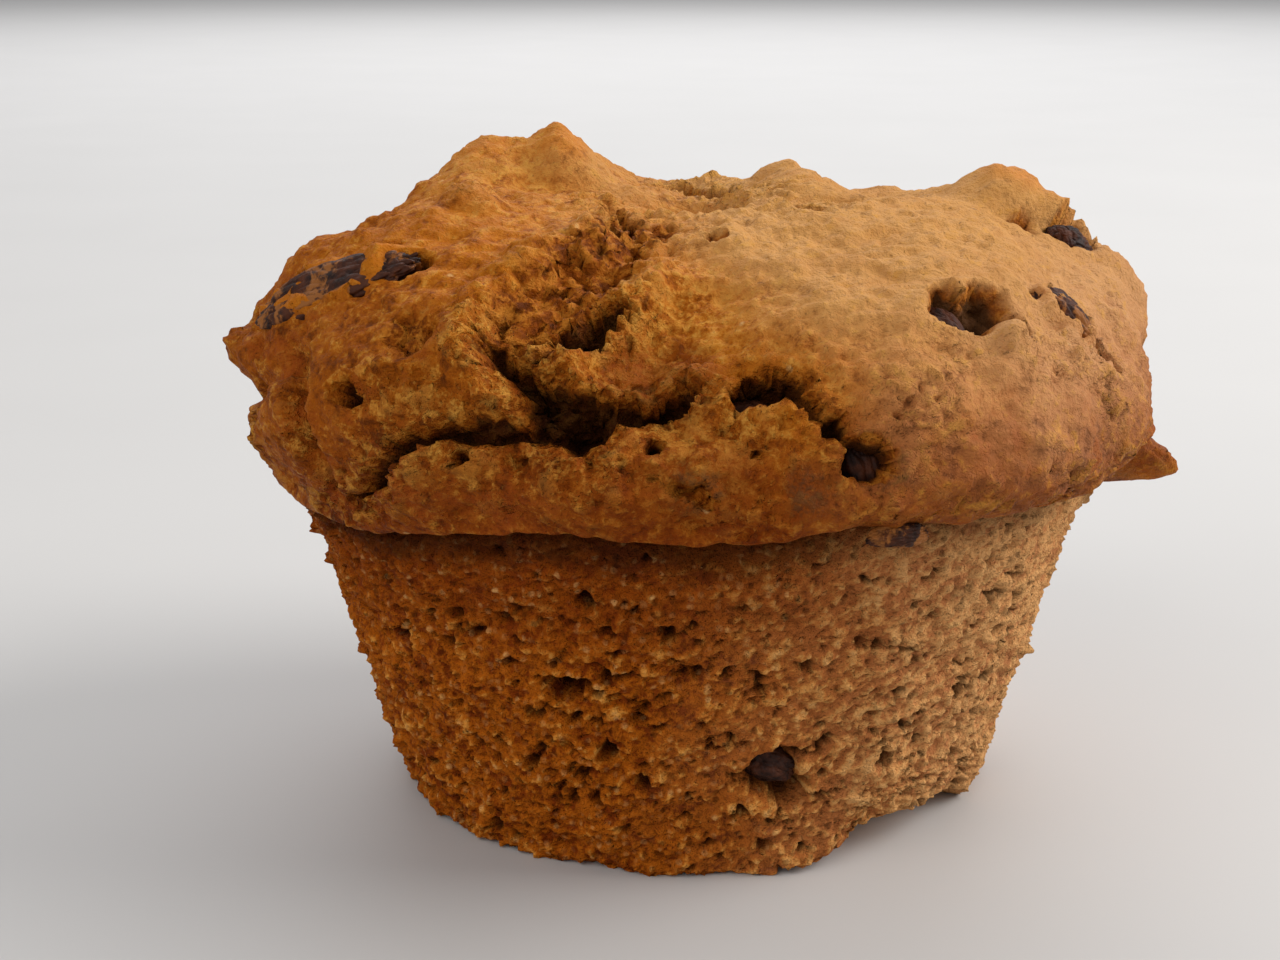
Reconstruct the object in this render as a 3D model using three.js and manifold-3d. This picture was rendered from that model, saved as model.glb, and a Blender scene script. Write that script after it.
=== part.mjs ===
// A raisin muffin: a tapered cup of crumb under a craggy risen top,
// with raisins sitting in the holes that they left in the batter.
//
// Millimetres, +Z up. The origin is the centre of the flat base.
// -Y is the front. An azimuth of 0 degrees is the front and 90 is the right-hand side (+X).
// Places on the risen top are given as an azimuth and a height angle, seen from HUB.

import * as THREE from 'three';
import { mergeVertices } from 'three/addons/utils/BufferGeometryUtils.js';
import Module from 'manifold-3d';

const wasm = await Module();
wasm.setup();

// Driving dimensions

const BASE_RADIUS = 26.3;
const RIM_RADIUS = 35.0;
const CUP_HEIGHT = 31.3;
const BASE_FILLET = 0.9;
const LIP_OVERHANG = 4.5;
const LIP_DEPTH = 5.2;
const DOME_TOP = 54.0;
const HUB = new THREE.Vector3(0, 0, 36);
const LOBE_BLEND = 1.4;

// The lip hangs lower over the front left and, in a narrow stretch, at the right nub.
const SAG = { azimuth: -70, spread: 36, drop: 3.2, waves: 0.5, nub: 81, nubDrop: 4.2, ragged: 0.9 };

// The cup has a chunk missing from its bottom edge, and a flap of crumb beside the chunk.
const CHIP = { from: 28, to: 62, rise: 2.6, inner: 20.5, height: 8 };
const FLAP = { from: 9, to: 27, reach: 0.5, height: 3.5, rise: 0.5 };

const COLUMNS = 84;
const FRONT_BIAS = 0.38;
const RAISIN_GAP = 0.3;

const CRUST_COLOUR = 0xa8743f;
const RAISIN_COLOUR = 0x2e1b1c;

// Risen lobes of the top: half-axes of ellipsoids that all hold the hub inside.

const LOBES = [
  { name: 'main right', centre: [10.5, -3.5, 34.5], radii: [28.0, 33.5, 17.0] },
  { name: 'front left', centre: [-15.0, -6.0, 38.0], radii: [23.0, 28.0, 14.0] },
  { name: 'back left', centre: [-10.0, 10.0, 38.0], radii: [23.0, 25.0, 14.0] },
  { name: 'left lip', centre: [-11.0, 6.0, 33.5], radii: [27.2, 26.0, 8.5] },
  { name: 'back middle', centre: [6.0, 13.0, 36.0], radii: [25.0, 25.0, 14.5] },
  { name: 'back right', centre: [16.5, 4.0, 37.5], radii: [23.0, 26.0, 13.5] },
  { name: 'front lip', centre: [0.0, -4.0, 35.0], radii: [35.5, 33.0, 7.5] },
  { name: 'back lip', centre: [2.0, 6.0, 35.5], radii: [34.0, 33.0, 7.5] },
];

// Round swellings, each at a place on the top, with its height and radius.

const BUMPS = [
  { name: 'back left crown', at: [-128, 46], height: 3.2, radius: 10.5, point: 1.0 },
  { name: 'back left brow', at: [-105, 36], height: 2.8, radius: 7.0, point: 1.0 },
  { name: 'back left knob', at: [-117, 53], height: 2.4, radius: 4.6, point: 1.0 },
  { name: 'back left step', at: [-110, 66], height: 0.8, radius: 5.5, point: 1.0 },
  { name: 'drop beside the crown', at: [-141, 57], height: -2.7, radius: 5.6, point: 1.0 },
  { name: 'back slope', at: [-163, 44], height: -1.5, radius: 7.5, point: 1.0 },
  { name: 'front left tip', at: [-60, 37], height: 1.8, radius: 3.2, point: 1.4 },
  { name: 'front left brow', at: [-64, 32], height: 0.9, radius: 8.0, point: 1.0 },
  { name: 'front left face', at: [-33, 6], height: 1.0, radius: 9.0, point: 1.0 },
  { name: 'left shoulder', at: [-85, 22], height: -1.0, radius: 7.0, point: 1.0 },
  { name: 'over the long raisin', at: [-75, 18.5], height: 1.3, radius: 3.6, point: 1.0 },
  { name: 'left nub', at: [-75, 5.2], height: 3.0, radius: 2.7, point: 1.0 },
  { name: 'left nub root', at: [-68, 6.5], height: 0.8, radius: 3.2, point: 1.0 },
  { name: 'below the left nub', at: [-72, 0.5], height: -1.4, radius: 4.0, point: 1.0 },
  { name: 'left belly', at: [-73, -7], height: 1.3, radius: 6.0, point: 1.0 },
  { name: 'middle tip', at: [147, 46], height: 0.7, radius: 2.6, point: 1.4 },
  { name: 'middle crown', at: [140, 46], height: 1.0, radius: 7.0, point: 1.0 },
  { name: 'dip before the right crown', at: [107, 41], height: -3.0, radius: 6.5, point: 1.0 },
  { name: 'right crown', at: [99, 26], height: 4.1, radius: 5.4, point: 1.0 },
  { name: 'right tip', at: [94.5, 19.5], height: 2.2, radius: 3.6, point: 1.0 },
  { name: 'right shoulder', at: [90, 13], height: 1.4, radius: 8.0, point: 1.0 },
  { name: 'right nub', at: [80, -9.8], height: 5.4, radius: 3.1, point: 1.2 },
  { name: 'right nub root', at: [74, -7], height: 1.4, radius: 3.4, point: 1.0 },
  { name: 'front knob', at: [5, 3], height: 1.2, radius: 6.5, point: 0.7 },
  { name: 'socket blob', at: [38.5, 12.3], height: 1.5, radius: 1.8, point: 1.0 },
  { name: 'main belly', at: [24, 12], height: 1.0, radius: 12.0, point: 1.0 },
];

// Long low ridges, mostly the torn lips beside the cracks.

const RIDGES = [
  {
    name: 'main lip',
    height: 1.8,
    spread: 1.8,
    route: [
      [-2, 10.2], [-6.5, 7.8], [-11, 6.2], [-13.5, 6.6], [-17.5, 11.6],
      [-17, 16.2], [-14, 19], [-9.9, 22.6], [-7, 28.5],
    ],
  },
  {
    name: 'left bank',
    height: 1.6,
    spread: 1.8,
    route: [[-27.5, 40], [-27, 33], [-30.5, 29], [-31, 19], [-30, 15], [-28, 11], [-24, 6]],
  },
  { name: 'front band', height: 0.8, spread: 3.0, route: [[-36, -5], [-26, -2], [-16, -1], [-8, -1]] },
  {
    name: 'crease under the left nub',
    height: -2.0,
    spread: 1.7,
    route: [[-86, 0.5], [-72, 0.8], [-62, 3.5], [-55, 8]],
  },
  { name: 'back lip', height: 0.9, spread: 2.4, route: [[105, 56], [148, 42], [158, 27], [150, 10]] },
  { name: 'socket brow', height: 0.7, spread: 1.6, route: [[31, 18], [36, 19.5], [43, 19], [48, 18.5]] },
];

// Cracks between the lobes: half width, depth, and the route over the top.

const CRACKS = [
  {
    name: 'rift',
    width: 1.3,
    depth: 4.4,
    route: [[-13, 21], [-16, 18], [-18, 15.3], [-19.5, 13.3], [-22, 12]],
  },
  {
    name: 'rift below',
    width: 1.2,
    depth: 4.0,
    route: [[-28.5, 14.5], [-26, 12.8], [-23, 11], [-19.5, 9], [-16, 6.6], [-13, 4.2]],
  },
  {
    name: 'torn bank',
    width: 3.3,
    depth: 1.2,
    route: [[-16.3, 49], [-21, 40], [-21.5, 30], [-22.5, 23], [-24, 18], [-25, 13]],
  },
  { name: 'star', width: 1.2, depth: 2.0, route: [[-60, 60], [-34, 53], [-22, 43]] },
  {
    name: 'junction',
    width: 1.7,
    depth: 4.6,
    route: [[-21, 9.5], [-17.8, 7.4], [-14.8, 5.4], [-11.8, 4.6]],
  },
  {
    name: 'under main',
    width: 1.2,
    depth: 3.4,
    route: [[-13.5, 4.4], [-10.5, 4.8], [-7, 5.8], [-4, 7.2], [-1.5, 8.8]],
  },
  {
    name: 'left split',
    width: 1.2,
    depth: 2.6,
    route: [
      [-14, 2.2], [-22.6, 4.2], [-28, 3.8], [-31.2, 3],
      [-34.4, 1.1], [-39, -3], [-46, -7], [-54, -10],
    ],
  },
  { name: 'knob edge', width: 1.2, depth: 1.8, route: [[6, 9.5], [9, 9.5], [11.5, 8], [14, 5], [17, 2]] },
  { name: 'fold behind', width: 1.9, depth: 3.0, route: [[-176, 46], [176, 56], [150, 66], [112, 73]] },
  { name: 'back split', width: 1.7, depth: 4.2, route: [[178, 38], [168, 27], [160, 13], [172, 3]] },
  { name: 'back branch', width: 1.4, depth: 2.8, route: [[168, 25], [190, 18], [212, 14], [225, 6]] },
];

// Long dents between the lobes, where the skin stayed whole.

const HOLLOWS = [
  {
    name: 'left fold',
    width: 1.3,
    depth: 2.2,
    route: [[-56, 9.5], [-51, 8.5], [-48.5, 5], [-47.5, 0], [-48, -7]],
  },
  { name: 'middle hollow', width: 3.4, depth: 3.0, route: [[-60, 74], [20, 80], [60, 70]] },
  { name: 'lobe valley', width: 2.6, depth: 1.2, route: [[60, 66], [75, 50], [84, 40]] },
  { name: 'side crease', width: 1.4, depth: 1.1, route: [[78, 4], [90, 3], [104, 4], [118, -2]] },
  { name: 'left back', width: 1.8, depth: 2.4, route: [[-128, 24], [-118, 14], [-112, 6], [-104, -2]] },
];

// Round holes in the top.

const HOLES = [
  { name: 'centre', at: [7.6, 9.6], radius: 2.0, depth: 5.6 },
  { name: 'centre right', at: [10, 10], radius: 1.7, depth: 5.4 },
  { name: 'centre left', at: [5, 8.6], radius: 1.4, depth: 4.0 },
  { name: 'comma', at: [17.6, 1.8], radius: 2.0, depth: 4.4 },
  { name: 'comma top', at: [14.2, 5], radius: 1.3, depth: 3.4 },
  { name: 'pit', at: [-15.5, 4.4], radius: 2.2, depth: 5.0 },
  { name: 'wide pit', at: [-18.2, 6.2], radius: 2.8, depth: 2.6 },
  { name: 'socket left', at: [34.5, 17], radius: 2.4, depth: 3.0 },
  { name: 'socket middle', at: [36.5, 15.6], radius: 1.9, depth: 4.4 },
  { name: 'socket wall', at: [40.5, 17], radius: 2.4, depth: 2.6 },
  { name: 'socket right', at: [42, 14.4], radius: 1.5, depth: 3.8 },
  { name: 'crown', at: [90, 18.3], radius: 2.0, depth: 1.2 },
  { name: 'crown dimple', at: [88.5, 24.5], radius: 1.3, depth: 1.5 },
  { name: 'left dent', at: [-41, 6.4], radius: 1.3, depth: 3.4 },
  { name: 'left dimple', at: [-36.5, 13.5], radius: 2.4, depth: 0.8 },
  { name: 'shoulder', at: [-46.5, 22.5], radius: 1.8, depth: 2.0 },
];

// Raisins: half-length, half-width and half-thickness. "sink" is how far the middle
// lies below the plain surface, and "turn" lifts the long axis from level, clockwise.

const TOP_RAISINS = [
  { name: 'raisin_shoulder', at: [-57.5, 17.8], half: [7.6, 3.1, 2.1], sink: 1.4, turn: -36 },
  { name: 'raisin_centre', at: [5.8, 8.5], half: [3.0, 2.0, 1.8], sink: 4.6, turn: 8 },
  { name: 'raisin_comma', at: [18, 1.4], half: [2.7, 1.7, 1.6], sink: 3.3, turn: 70 },
  { name: 'raisin_socket', at: [33.8, 16.4], half: [2.5, 1.8, 1.8], sink: 1.9, turn: 60 },
  { name: 'raisin_coated', at: [56, 14.2], half: [3.1, 2.5, 1.9], sink: 1.1, turn: 75 },
  { name: 'raisin_crown', at: [91, 18.8], half: [2.9, 2.2, 1.8], sink: 0.4, turn: 40 },
  { name: 'raisin_lip', at: [21.3, -7], half: [2.3, 0.9, 1.1], sink: 1.1, turn: 0 },
  { name: 'raisin_back_left', at: [-141, 17], half: [3.4, 2.2, 1.9], sink: 0.8, turn: 25 },
  { name: 'raisin_back', at: [178, 23], half: [3.1, 2.2, 1.9], sink: 0.9, turn: -50 },
  { name: 'raisin_back_right', at: [133, 9], half: [3.6, 2.1, 1.9], sink: 0.8, turn: 15 },
];

// Raisins that show on the side of the cup, each at an azimuth and a height.

const CUP_RAISINS = [
  { name: 'raisin_cup', at: [11.5, 9.6], half: [2.4, 1.6, 1.6], sink: 2.1, turn: 24, hole: 2.4 },
  { name: 'raisin_cup_back', at: [203, 15.5], half: [2.9, 1.9, 1.7], sink: 0.8, turn: -15, hole: 2.0 },
];

// Small helpers

const radians = THREE.MathUtils.degToRad;
const smooth = THREE.MathUtils.smoothstep;

function hash(ix, iy, iz, seed) {
  let h = Math.imul(ix, 374761393) + Math.imul(iy, 668265263);
  h = (h + Math.imul(iz, 2246822519) + Math.imul(seed, 3266489917)) >>> 0;
  h = Math.imul(h ^ (h >>> 15), 2246822519) >>> 0;
  h = Math.imul(h ^ (h >>> 13), 3266489917) >>> 0;
  return ((h ^ (h >>> 16)) >>> 0) / 4294967296;
}

const SLOPES = [
  [1, 1, 0], [-1, 1, 0], [1, -1, 0], [-1, -1, 0],
  [1, 0, 1], [-1, 0, 1], [1, 0, -1], [-1, 0, -1],
  [0, 1, 1], [0, -1, 1], [0, 1, -1], [0, -1, -1],
  [1, 1, 0], [-1, 1, 0], [0, -1, 1], [0, -1, -1],
];

// Gradient noise, about -1 to 1: each lattice corner has a slope of its own.
function lumps(point, cell, seed) {
  const spot = [point.x / cell, point.y / cell, point.z / cell];
  const corner = spot.map(Math.floor);
  const part = spot.map((value, axis) => value - corner[axis]);
  const ease = part.map((f) => f * f * f * (f * (f * 6 - 15) + 10));
  let total = 0;
  for (let k = 0; k < 8; k += 1) {
    const step = [k & 1, (k >> 1) & 1, (k >> 2) & 1];
    const pick = hash(corner[0] + step[0], corner[1] + step[1], corner[2] + step[2], seed);
    const slope = SLOPES[Math.floor(pick * 16)];
    let weight = 1;
    let rise = 0;
    for (let axis = 0; axis < 3; axis += 1) {
      weight *= step[axis] ? ease[axis] : 1 - ease[axis];
      rise += slope[axis] * (part[axis] - step[axis]);
    }
    total += weight * rise;
  }
  return total * 1.2;
}

// Layers of lumps, each half the size of the last.
function layeredLumps(point, cell, layers, seed, gain = 0.5) {
  let total = 0;
  let strength = 1;
  let sum = 0;
  for (let k = 0; k < layers; k += 1) {
    total += strength * lumps(point.clone().addScalar(17.3 * k), cell / 2 ** k, seed + k);
    sum += strength;
    strength *= gain;
  }
  return total / sum;
}

function direction(azimuth, height) {
  const a = radians(azimuth);
  const e = radians(height);
  return new THREE.Vector3(Math.sin(a) * Math.cos(e), -Math.cos(a) * Math.cos(e), Math.sin(e));
}

// How far a ray from the hub runs before it leaves the lobes, joined softly.
function lobeReach(ray) {
  const reaches = LOBES.map(({ centre, radii }) => {
    const offset = HUB.toArray().map((value, axis) => (value - centre[axis]) / radii[axis]);
    const scaled = ray.toArray().map((value, axis) => value / radii[axis]);
    const a = scaled.reduce((sum, value) => sum + value * value, 0);
    const b = scaled.reduce((sum, value, axis) => sum + value * offset[axis], 0);
    const c = offset.reduce((sum, value) => sum + value * value, 0) - 1;
    return (-b + Math.sqrt(Math.max(b * b - a * c, 0))) / a;
  });
  const longest = Math.max(...reaches);
  const joined = reaches.reduce((sum, reach) => sum + Math.exp(LOBE_BLEND * (reach - longest)), 0);
  return longest + Math.log(joined) / LOBE_BLEND;
}

function onTop([azimuth, height]) {
  const ray = direction(azimuth, height);
  return ray.clone().multiplyScalar(lobeReach(ray)).add(HUB);
}

// Relief on the top acts along this direction, square to a big ellipsoid.
function pushDirection(point) {
  return new THREE.Vector3(point.x / 40 ** 2, point.y / 38 ** 2, (point.z - 31) / 23 ** 2).normalize();
}

// Distance from a point to a route on the top, and how far along the route that is.
function alongRoute(point, places) {
  const line = new THREE.Line3();
  const nearest = new THREE.Vector3();
  const total = places.slice(1).reduce((sum, place, k) => sum + place.distanceTo(places[k]), 0);
  let distance = Infinity;
  let along = 0;
  let run = 0;
  for (let k = 1; k < places.length; k += 1) {
    line.set(places[k - 1], places[k]);
    const share = line.closestPointToPointParameter(point, true);
    const gap = line.at(share, nearest).distanceTo(point);
    if (gap < distance) {
      distance = gap;
      along = (run + share * line.distance()) / total;
    }
    run += line.distance();
  }
  return { distance, along };
}

const bumpPlaces = BUMPS.map(({ at }) => onTop(at));
const holePlaces = HOLES.map(({ at }) => onTop(at));
const ridgePlaces = RIDGES.map(({ route }) => route.map(onTop));
const crackPlaces = CRACKS.map(({ route }) => route.map(onTop));
const hollowPlaces = HOLLOWS.map(({ route }) => route.map(onTop));

// Height of the relief over the plain lobes: swellings and ridges up, cracks and holes down.
function topRelief(point) {
  let rise = 1.3 * layeredLumps(point, 11, 2, 3) + 0.45 * layeredLumps(point, 4.5, 2, 23);
  BUMPS.forEach(({ height, radius, point: sharp }, k) => {
    const x = point.distanceTo(bumpPlaces[k]) / radius;
    const fall = Math.max(0, 1 - x ** (2 / sharp));
    rise += height * fall ** (sharp > 1 ? 1.2 : 1.5);
  });
  RIDGES.forEach(({ height, spread }, k) => {
    const { distance } = alongRoute(point, ridgePlaces[k]);
    rise += height * Math.exp(-((distance / spread) ** 2));
  });

  const ragged = 1.5 * layeredLumps(point, 3, 3, 5, 0.6);
  let cut = 0;
  let inside = 0;
  CRACKS.forEach(({ width, depth }, k) => {
    const { distance, along } = alongRoute(point, crackPlaces[k]);
    const middle = Math.sin(Math.PI * THREE.MathUtils.clamp(along, 0.02, 0.98));
    const taper = 0.45 + 0.55 * Math.sqrt(middle);
    const x = (distance + ragged * Math.min(1, width * 0.8)) / (width * taper);
    cut = Math.max(cut, depth * taper * (1 - smooth(x, 0.45, 1.25)));
    inside = Math.max(inside, 1 - smooth(x, 0.9, 1.3));
  });
  HOLLOWS.forEach(({ width, depth }, k) => {
    const { distance, along } = alongRoute(point, hollowPlaces[k]);
    const middle = Math.sin(Math.PI * THREE.MathUtils.clamp(along, 0.02, 0.98));
    const x = (distance + 0.3 * ragged) / width;
    cut = Math.max(cut, depth * Math.sqrt(middle) * (1 - smooth(x, 0, 1.4)));
  });
  HOLES.forEach(({ radius, depth }, k) => {
    const x = (point.distanceTo(holePlaces[k]) + 0.35 * ragged) / radius;
    cut = Math.max(cut, depth * (1 - smooth(x, 0.5, 1.1)));
    inside = Math.max(inside, 0.5 * (1 - smooth(x, 0.9, 1.2)));
  });
  const crumb = layeredLumps(point, 2.4, 3, 11, 0.6);
  return rise - cut + inside * crumb;
}

// The plain outline of the muffin: flat base, tapered cup, underside of the lip, then a dome.

function straight(from, to, steps) {
  const line = new THREE.LineCurve(new THREE.Vector2(...from), new THREE.Vector2(...to));
  return line.getPoints(steps).slice(1);
}

function quarter(centre, radii, startAngle, endAngle, steps) {
  const curve = new THREE.EllipseCurve(...centre, ...radii, radians(startAngle), radians(endAngle));
  return curve.getPoints(steps).slice(1);
}

const wallTurn = THREE.MathUtils.radToDeg(Math.atan2(RIM_RADIUS - BASE_RADIUS, CUP_HEIGHT));
const lipRadius = RIM_RADIUS + LIP_OVERHANG;
const lipHeight = CUP_HEIGHT - 0.1 + LIP_DEPTH;

const cupOutline = [
  ...straight([0, 0], [BASE_RADIUS - BASE_FILLET, 0], 4),
  ...quarter([BASE_RADIUS - BASE_FILLET, BASE_FILLET], [BASE_FILLET, BASE_FILLET], -90, -wallTurn, 2),
  ...straight([BASE_RADIUS, BASE_FILLET], [RIM_RADIUS - 0.25, CUP_HEIGHT - 0.8], 10),
];
const lipOutline = [
  new THREE.Vector2(RIM_RADIUS - 0.1, CUP_HEIGHT),
  new THREE.Vector2(RIM_RADIUS + 0.9, CUP_HEIGHT - 0.1),
  ...quarter([RIM_RADIUS + 0.9, lipHeight], [LIP_OVERHANG - 0.9, LIP_DEPTH], -90, 0, 3),
];
const domeOutline = quarter([0, lipHeight], [lipRadius, DOME_TOP - lipHeight], 0, 90, 25);
const outline = [...cupOutline, ...lipOutline, ...domeOutline];

// How much a ring follows the lobes: none on the cup, all of it above the lip.
function lobeShare(ring) {
  return smooth(ring, cupOutline.length, cupOutline.length + lipOutline.length);
}

// A place on the cup's wall moved by its chip, flap and uneven crumb.
function cupPlace(place, azimuth) {
  const degrees = THREE.MathUtils.radToDeg(azimuth);
  const radius = Math.hypot(place.x, place.y);
  const outward = new THREE.Vector3(Math.sin(azimuth), -Math.cos(azimuth), -0.25);
  let push = 0.9 * layeredLumps(place, 6, 3, 41) * smooth(radius, 22.5, 25.5);
  const flapEnd = smooth(degrees, FLAP.to - 2, FLAP.to + 2);
  const flap = smooth(degrees, FLAP.from - 3, FLAP.from + 3) * (1 - flapEnd);
  push += FLAP.reach * flap * (1 - smooth(place.z, 0.5, FLAP.height)) * smooth(radius, 23.5, 25.5);
  CUP_RAISINS.forEach(({ at, hole }) => {
    const middle = onCup(at);
    push -= 2.4 * (1 - smooth(place.distanceTo(middle) / hole, 0.4, 1.2));
  });
  const moved = place.clone().addScaledVector(outward, push);
  const slope = smooth(degrees, FLAP.from, CHIP.from);
  const begin = FLAP.rise * slope + (1 - FLAP.rise) * smooth(degrees, CHIP.from - 2, CHIP.from + 4);
  const chip = begin * (1 - smooth(degrees, CHIP.to - 6, CHIP.to + 6));
  const edge = smooth(radius, CHIP.inner, BASE_RADIUS - 1) * (1 - smooth(place.z, 0, CHIP.height));
  moved.z = Math.max(0, moved.z + CHIP.rise * chip * edge);
  return moved;
}

function onCup([azimuth, height]) {
  const radius = THREE.MathUtils.lerp(BASE_RADIUS, RIM_RADIUS, height / CUP_HEIGHT);
  return direction(azimuth, 0).multiplyScalar(radius).setZ(height);
}

// How far the lip's edge hangs below its plain height.
function lipSag(azimuth, height) {
  const away = ((THREE.MathUtils.radToDeg(azimuth) - SAG.azimuth + 540) % 360) - 180;
  const beside = ((THREE.MathUtils.radToDeg(azimuth) - SAG.nub + 540) % 360) - 180;
  const broad = SAG.drop * Math.exp(-((away / SAG.spread) ** 2));
  const lowest = broad + SAG.nubDrop * Math.exp(-((beside / 5) ** 2));
  const ring = new THREE.Vector3(38 * Math.sin(azimuth), -38 * Math.cos(azimuth), 0);
  const wave = SAG.waves * Math.sin(3 * azimuth + 0.6) * Math.sin(5 * azimuth + 2.1);
  const ragged = SAG.ragged * layeredLumps(ring, 5, 3, 61, 0.6);
  return (lowest + wave + ragged) * smooth(height, 22, 31) * (1 - smooth(height, 36, 46));
}

// A place on the finished surface, from its ring on the outline and its azimuth.
function muffinPlace(ring, azimuth) {
  const { x: radius, y: height } = outline[ring];
  const place = new THREE.Vector3(radius * Math.sin(azimuth), -radius * Math.cos(azimuth), height);
  place.z -= lipSag(azimuth, height);
  const share = lobeShare(ring);
  if (share === 0) {
    return cupPlace(place, azimuth);
  }
  const ray = place.clone().sub(HUB);
  const length = ray.length();
  ray.divideScalar(length);
  place.addScaledVector(ray, share * (lobeReach(ray) - length));
  return place.addScaledVector(pushDirection(place), topRelief(place) * smooth(share, 0.02, 0.6));
}

// Closed surface from rings of points between two end points.

function ringGeometry(firstPoint, rings, lastPoint) {
  const columns = rings[0].length;
  const points = [firstPoint, ...rings.flat(), lastPoint];
  const last = points.length - 1;
  const faces = [];
  for (let j = 0; j < columns; j += 1) {
    const next = (j + 1) % columns;
    faces.push(0, 1 + next, 1 + j);
    for (let i = 0; i < rings.length - 1; i += 1) {
      const low = 1 + i * columns;
      const high = low + columns;
      faces.push(low + j, low + next, high + next);
      faces.push(low + j, high + next, high + j);
    }
    faces.push(last - columns + j, last - columns + next, last);
  }
  const geometry = new THREE.BufferGeometry().setFromPoints(points);
  geometry.setIndex(faces);
  return geometry;
}

function muffinGeometry() {
  const azimuths = Array.from({ length: COLUMNS }, (_, j) => {
    const turn = (2 * Math.PI * j) / COLUMNS;
    return turn - FRONT_BIAS * Math.sin(turn);
  });
  const rings = outline.slice(0, -1).map((_, ring) => azimuths.map((azimuth) => muffinPlace(ring, azimuth)));
  return ringGeometry(new THREE.Vector3(), rings, muffinPlace(outline.length - 1, 0));
}

// A raisin: an ellipsoid with folds that run from end to end and a few dents.

function raisinGeometry([long, wide, thick], seed, swell) {
  const rings = [];
  const around = 12;
  const place = (angle, turn) => {
    const sphere = new THREE.Vector3(
      Math.cos(angle),
      Math.sin(angle) * Math.cos(turn),
      Math.sin(angle) * Math.sin(turn),
    );
    const fold = 0.05 * Math.sin(5 * turn + seed) * Math.sin(angle);
    const dent = 0.16 * lumps(sphere.clone().addScalar(seed * 3.1), 0.9, seed);
    sphere.multiplyScalar(1 + fold + dent);
    return sphere.multiply(new THREE.Vector3(long + swell, wide + swell, thick + swell));
  };
  for (let i = 1; i < 8; i += 1) {
    const angle = Math.PI * (1 - i / 8);
    rings.push(Array.from({ length: around }, (_, j) => place(angle, (2 * Math.PI * j) / around)));
  }
  return ringGeometry(place(Math.PI, 0), rings, place(0, 0));
}

// Sets a raisin on a place: its thickness along the outward direction, its length across.
function raisinMatrix(place, outward, sink, turn) {
  const level = new THREE.Vector3(0, 0, 1).cross(outward).normalize();
  const upward = outward.clone().cross(level);
  const angle = radians(turn);
  const long = level.clone().multiplyScalar(Math.cos(angle)).addScaledVector(upward, -Math.sin(angle));
  const matrix = new THREE.Matrix4().makeBasis(long, outward.clone().cross(long), outward);
  return matrix.setPosition(place.clone().addScaledVector(outward, -sink));
}

function toSolid(geometry) {
  const bare = geometry.clone();
  bare.deleteAttribute('normal');
  bare.deleteAttribute('uv');
  const merged = mergeVertices(bare, 1e-4);
  return new wasm.Manifold(new wasm.Mesh({
    numProp: 3,
    vertProperties: new Float32Array(merged.attributes.position.array),
    triVerts: new Uint32Array(merged.index.array),
  }));
}

function toGeometry(solid) {
  const mesh = solid.getMesh();
  const geometry = new THREE.BufferGeometry();
  geometry.setAttribute('position', new THREE.BufferAttribute(mesh.vertProperties, 3));
  geometry.setIndex(new THREE.BufferAttribute(mesh.triVerts, 1));
  geometry.computeVertexNormals();
  return geometry;
}

// Assembly: the raisins are placed first, and the muffin is cut to clear them.

const group = new THREE.Group();
let body = toSolid(muffinGeometry());

function addRaisin({ name, half, sink, turn }, index, place, outward) {
  const matrix = raisinMatrix(place, outward, sink, turn);
  const material = new THREE.MeshStandardMaterial({ color: RAISIN_COLOUR, roughness: 0.45, metalness: 0 });
  const raisin = new THREE.Mesh(raisinGeometry(half, index + 1, 0), material);
  raisin.name = name;
  raisin.applyMatrix4(matrix);
  raisin.geometry.computeVertexNormals();
  group.add(raisin);
  body = body.subtract(toSolid(raisinGeometry(half, index + 1, RAISIN_GAP).applyMatrix4(matrix)));
}

TOP_RAISINS.forEach((raisin, index) => {
  const place = onTop(raisin.at);
  addRaisin(raisin, index, place, pushDirection(place));
});
CUP_RAISINS.forEach((raisin, index) => {
  const place = onCup(raisin.at);
  const outward = new THREE.Vector3(place.x, place.y, -0.25 * Math.hypot(place.x, place.y)).normalize();
  addRaisin(raisin, TOP_RAISINS.length + index, place, outward);
});

// Scraps that the raisins cut loose are dropped: the muffin is the largest piece left.
const pieces = body.decompose().sort((a, b) => b.volume() - a.volume());
const crust = new THREE.MeshStandardMaterial({ color: CRUST_COLOUR, roughness: 0.85, metalness: 0 });
const muffin = new THREE.Mesh(toGeometry(pieces[0]), crust);
muffin.name = 'muffin';
group.add(muffin);

export default group;
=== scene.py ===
# %% [markdown]
# # A raisin muffin
#
# A muffin is one piece of baked batter. The batter below the tin's rim takes the tin's
# shape and keeps an open, spongy side. The batter above the rim rises freely, tears
# apart while it bakes and browns to a soft crust. Raisins show where the batter parted.
#
# The scene is built in the same order: the sizes, the noise that all roughness comes
# from, the risen top, the cup below it, the raisins, the finishes, and then the studio.

# %% Frame
import math

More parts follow.
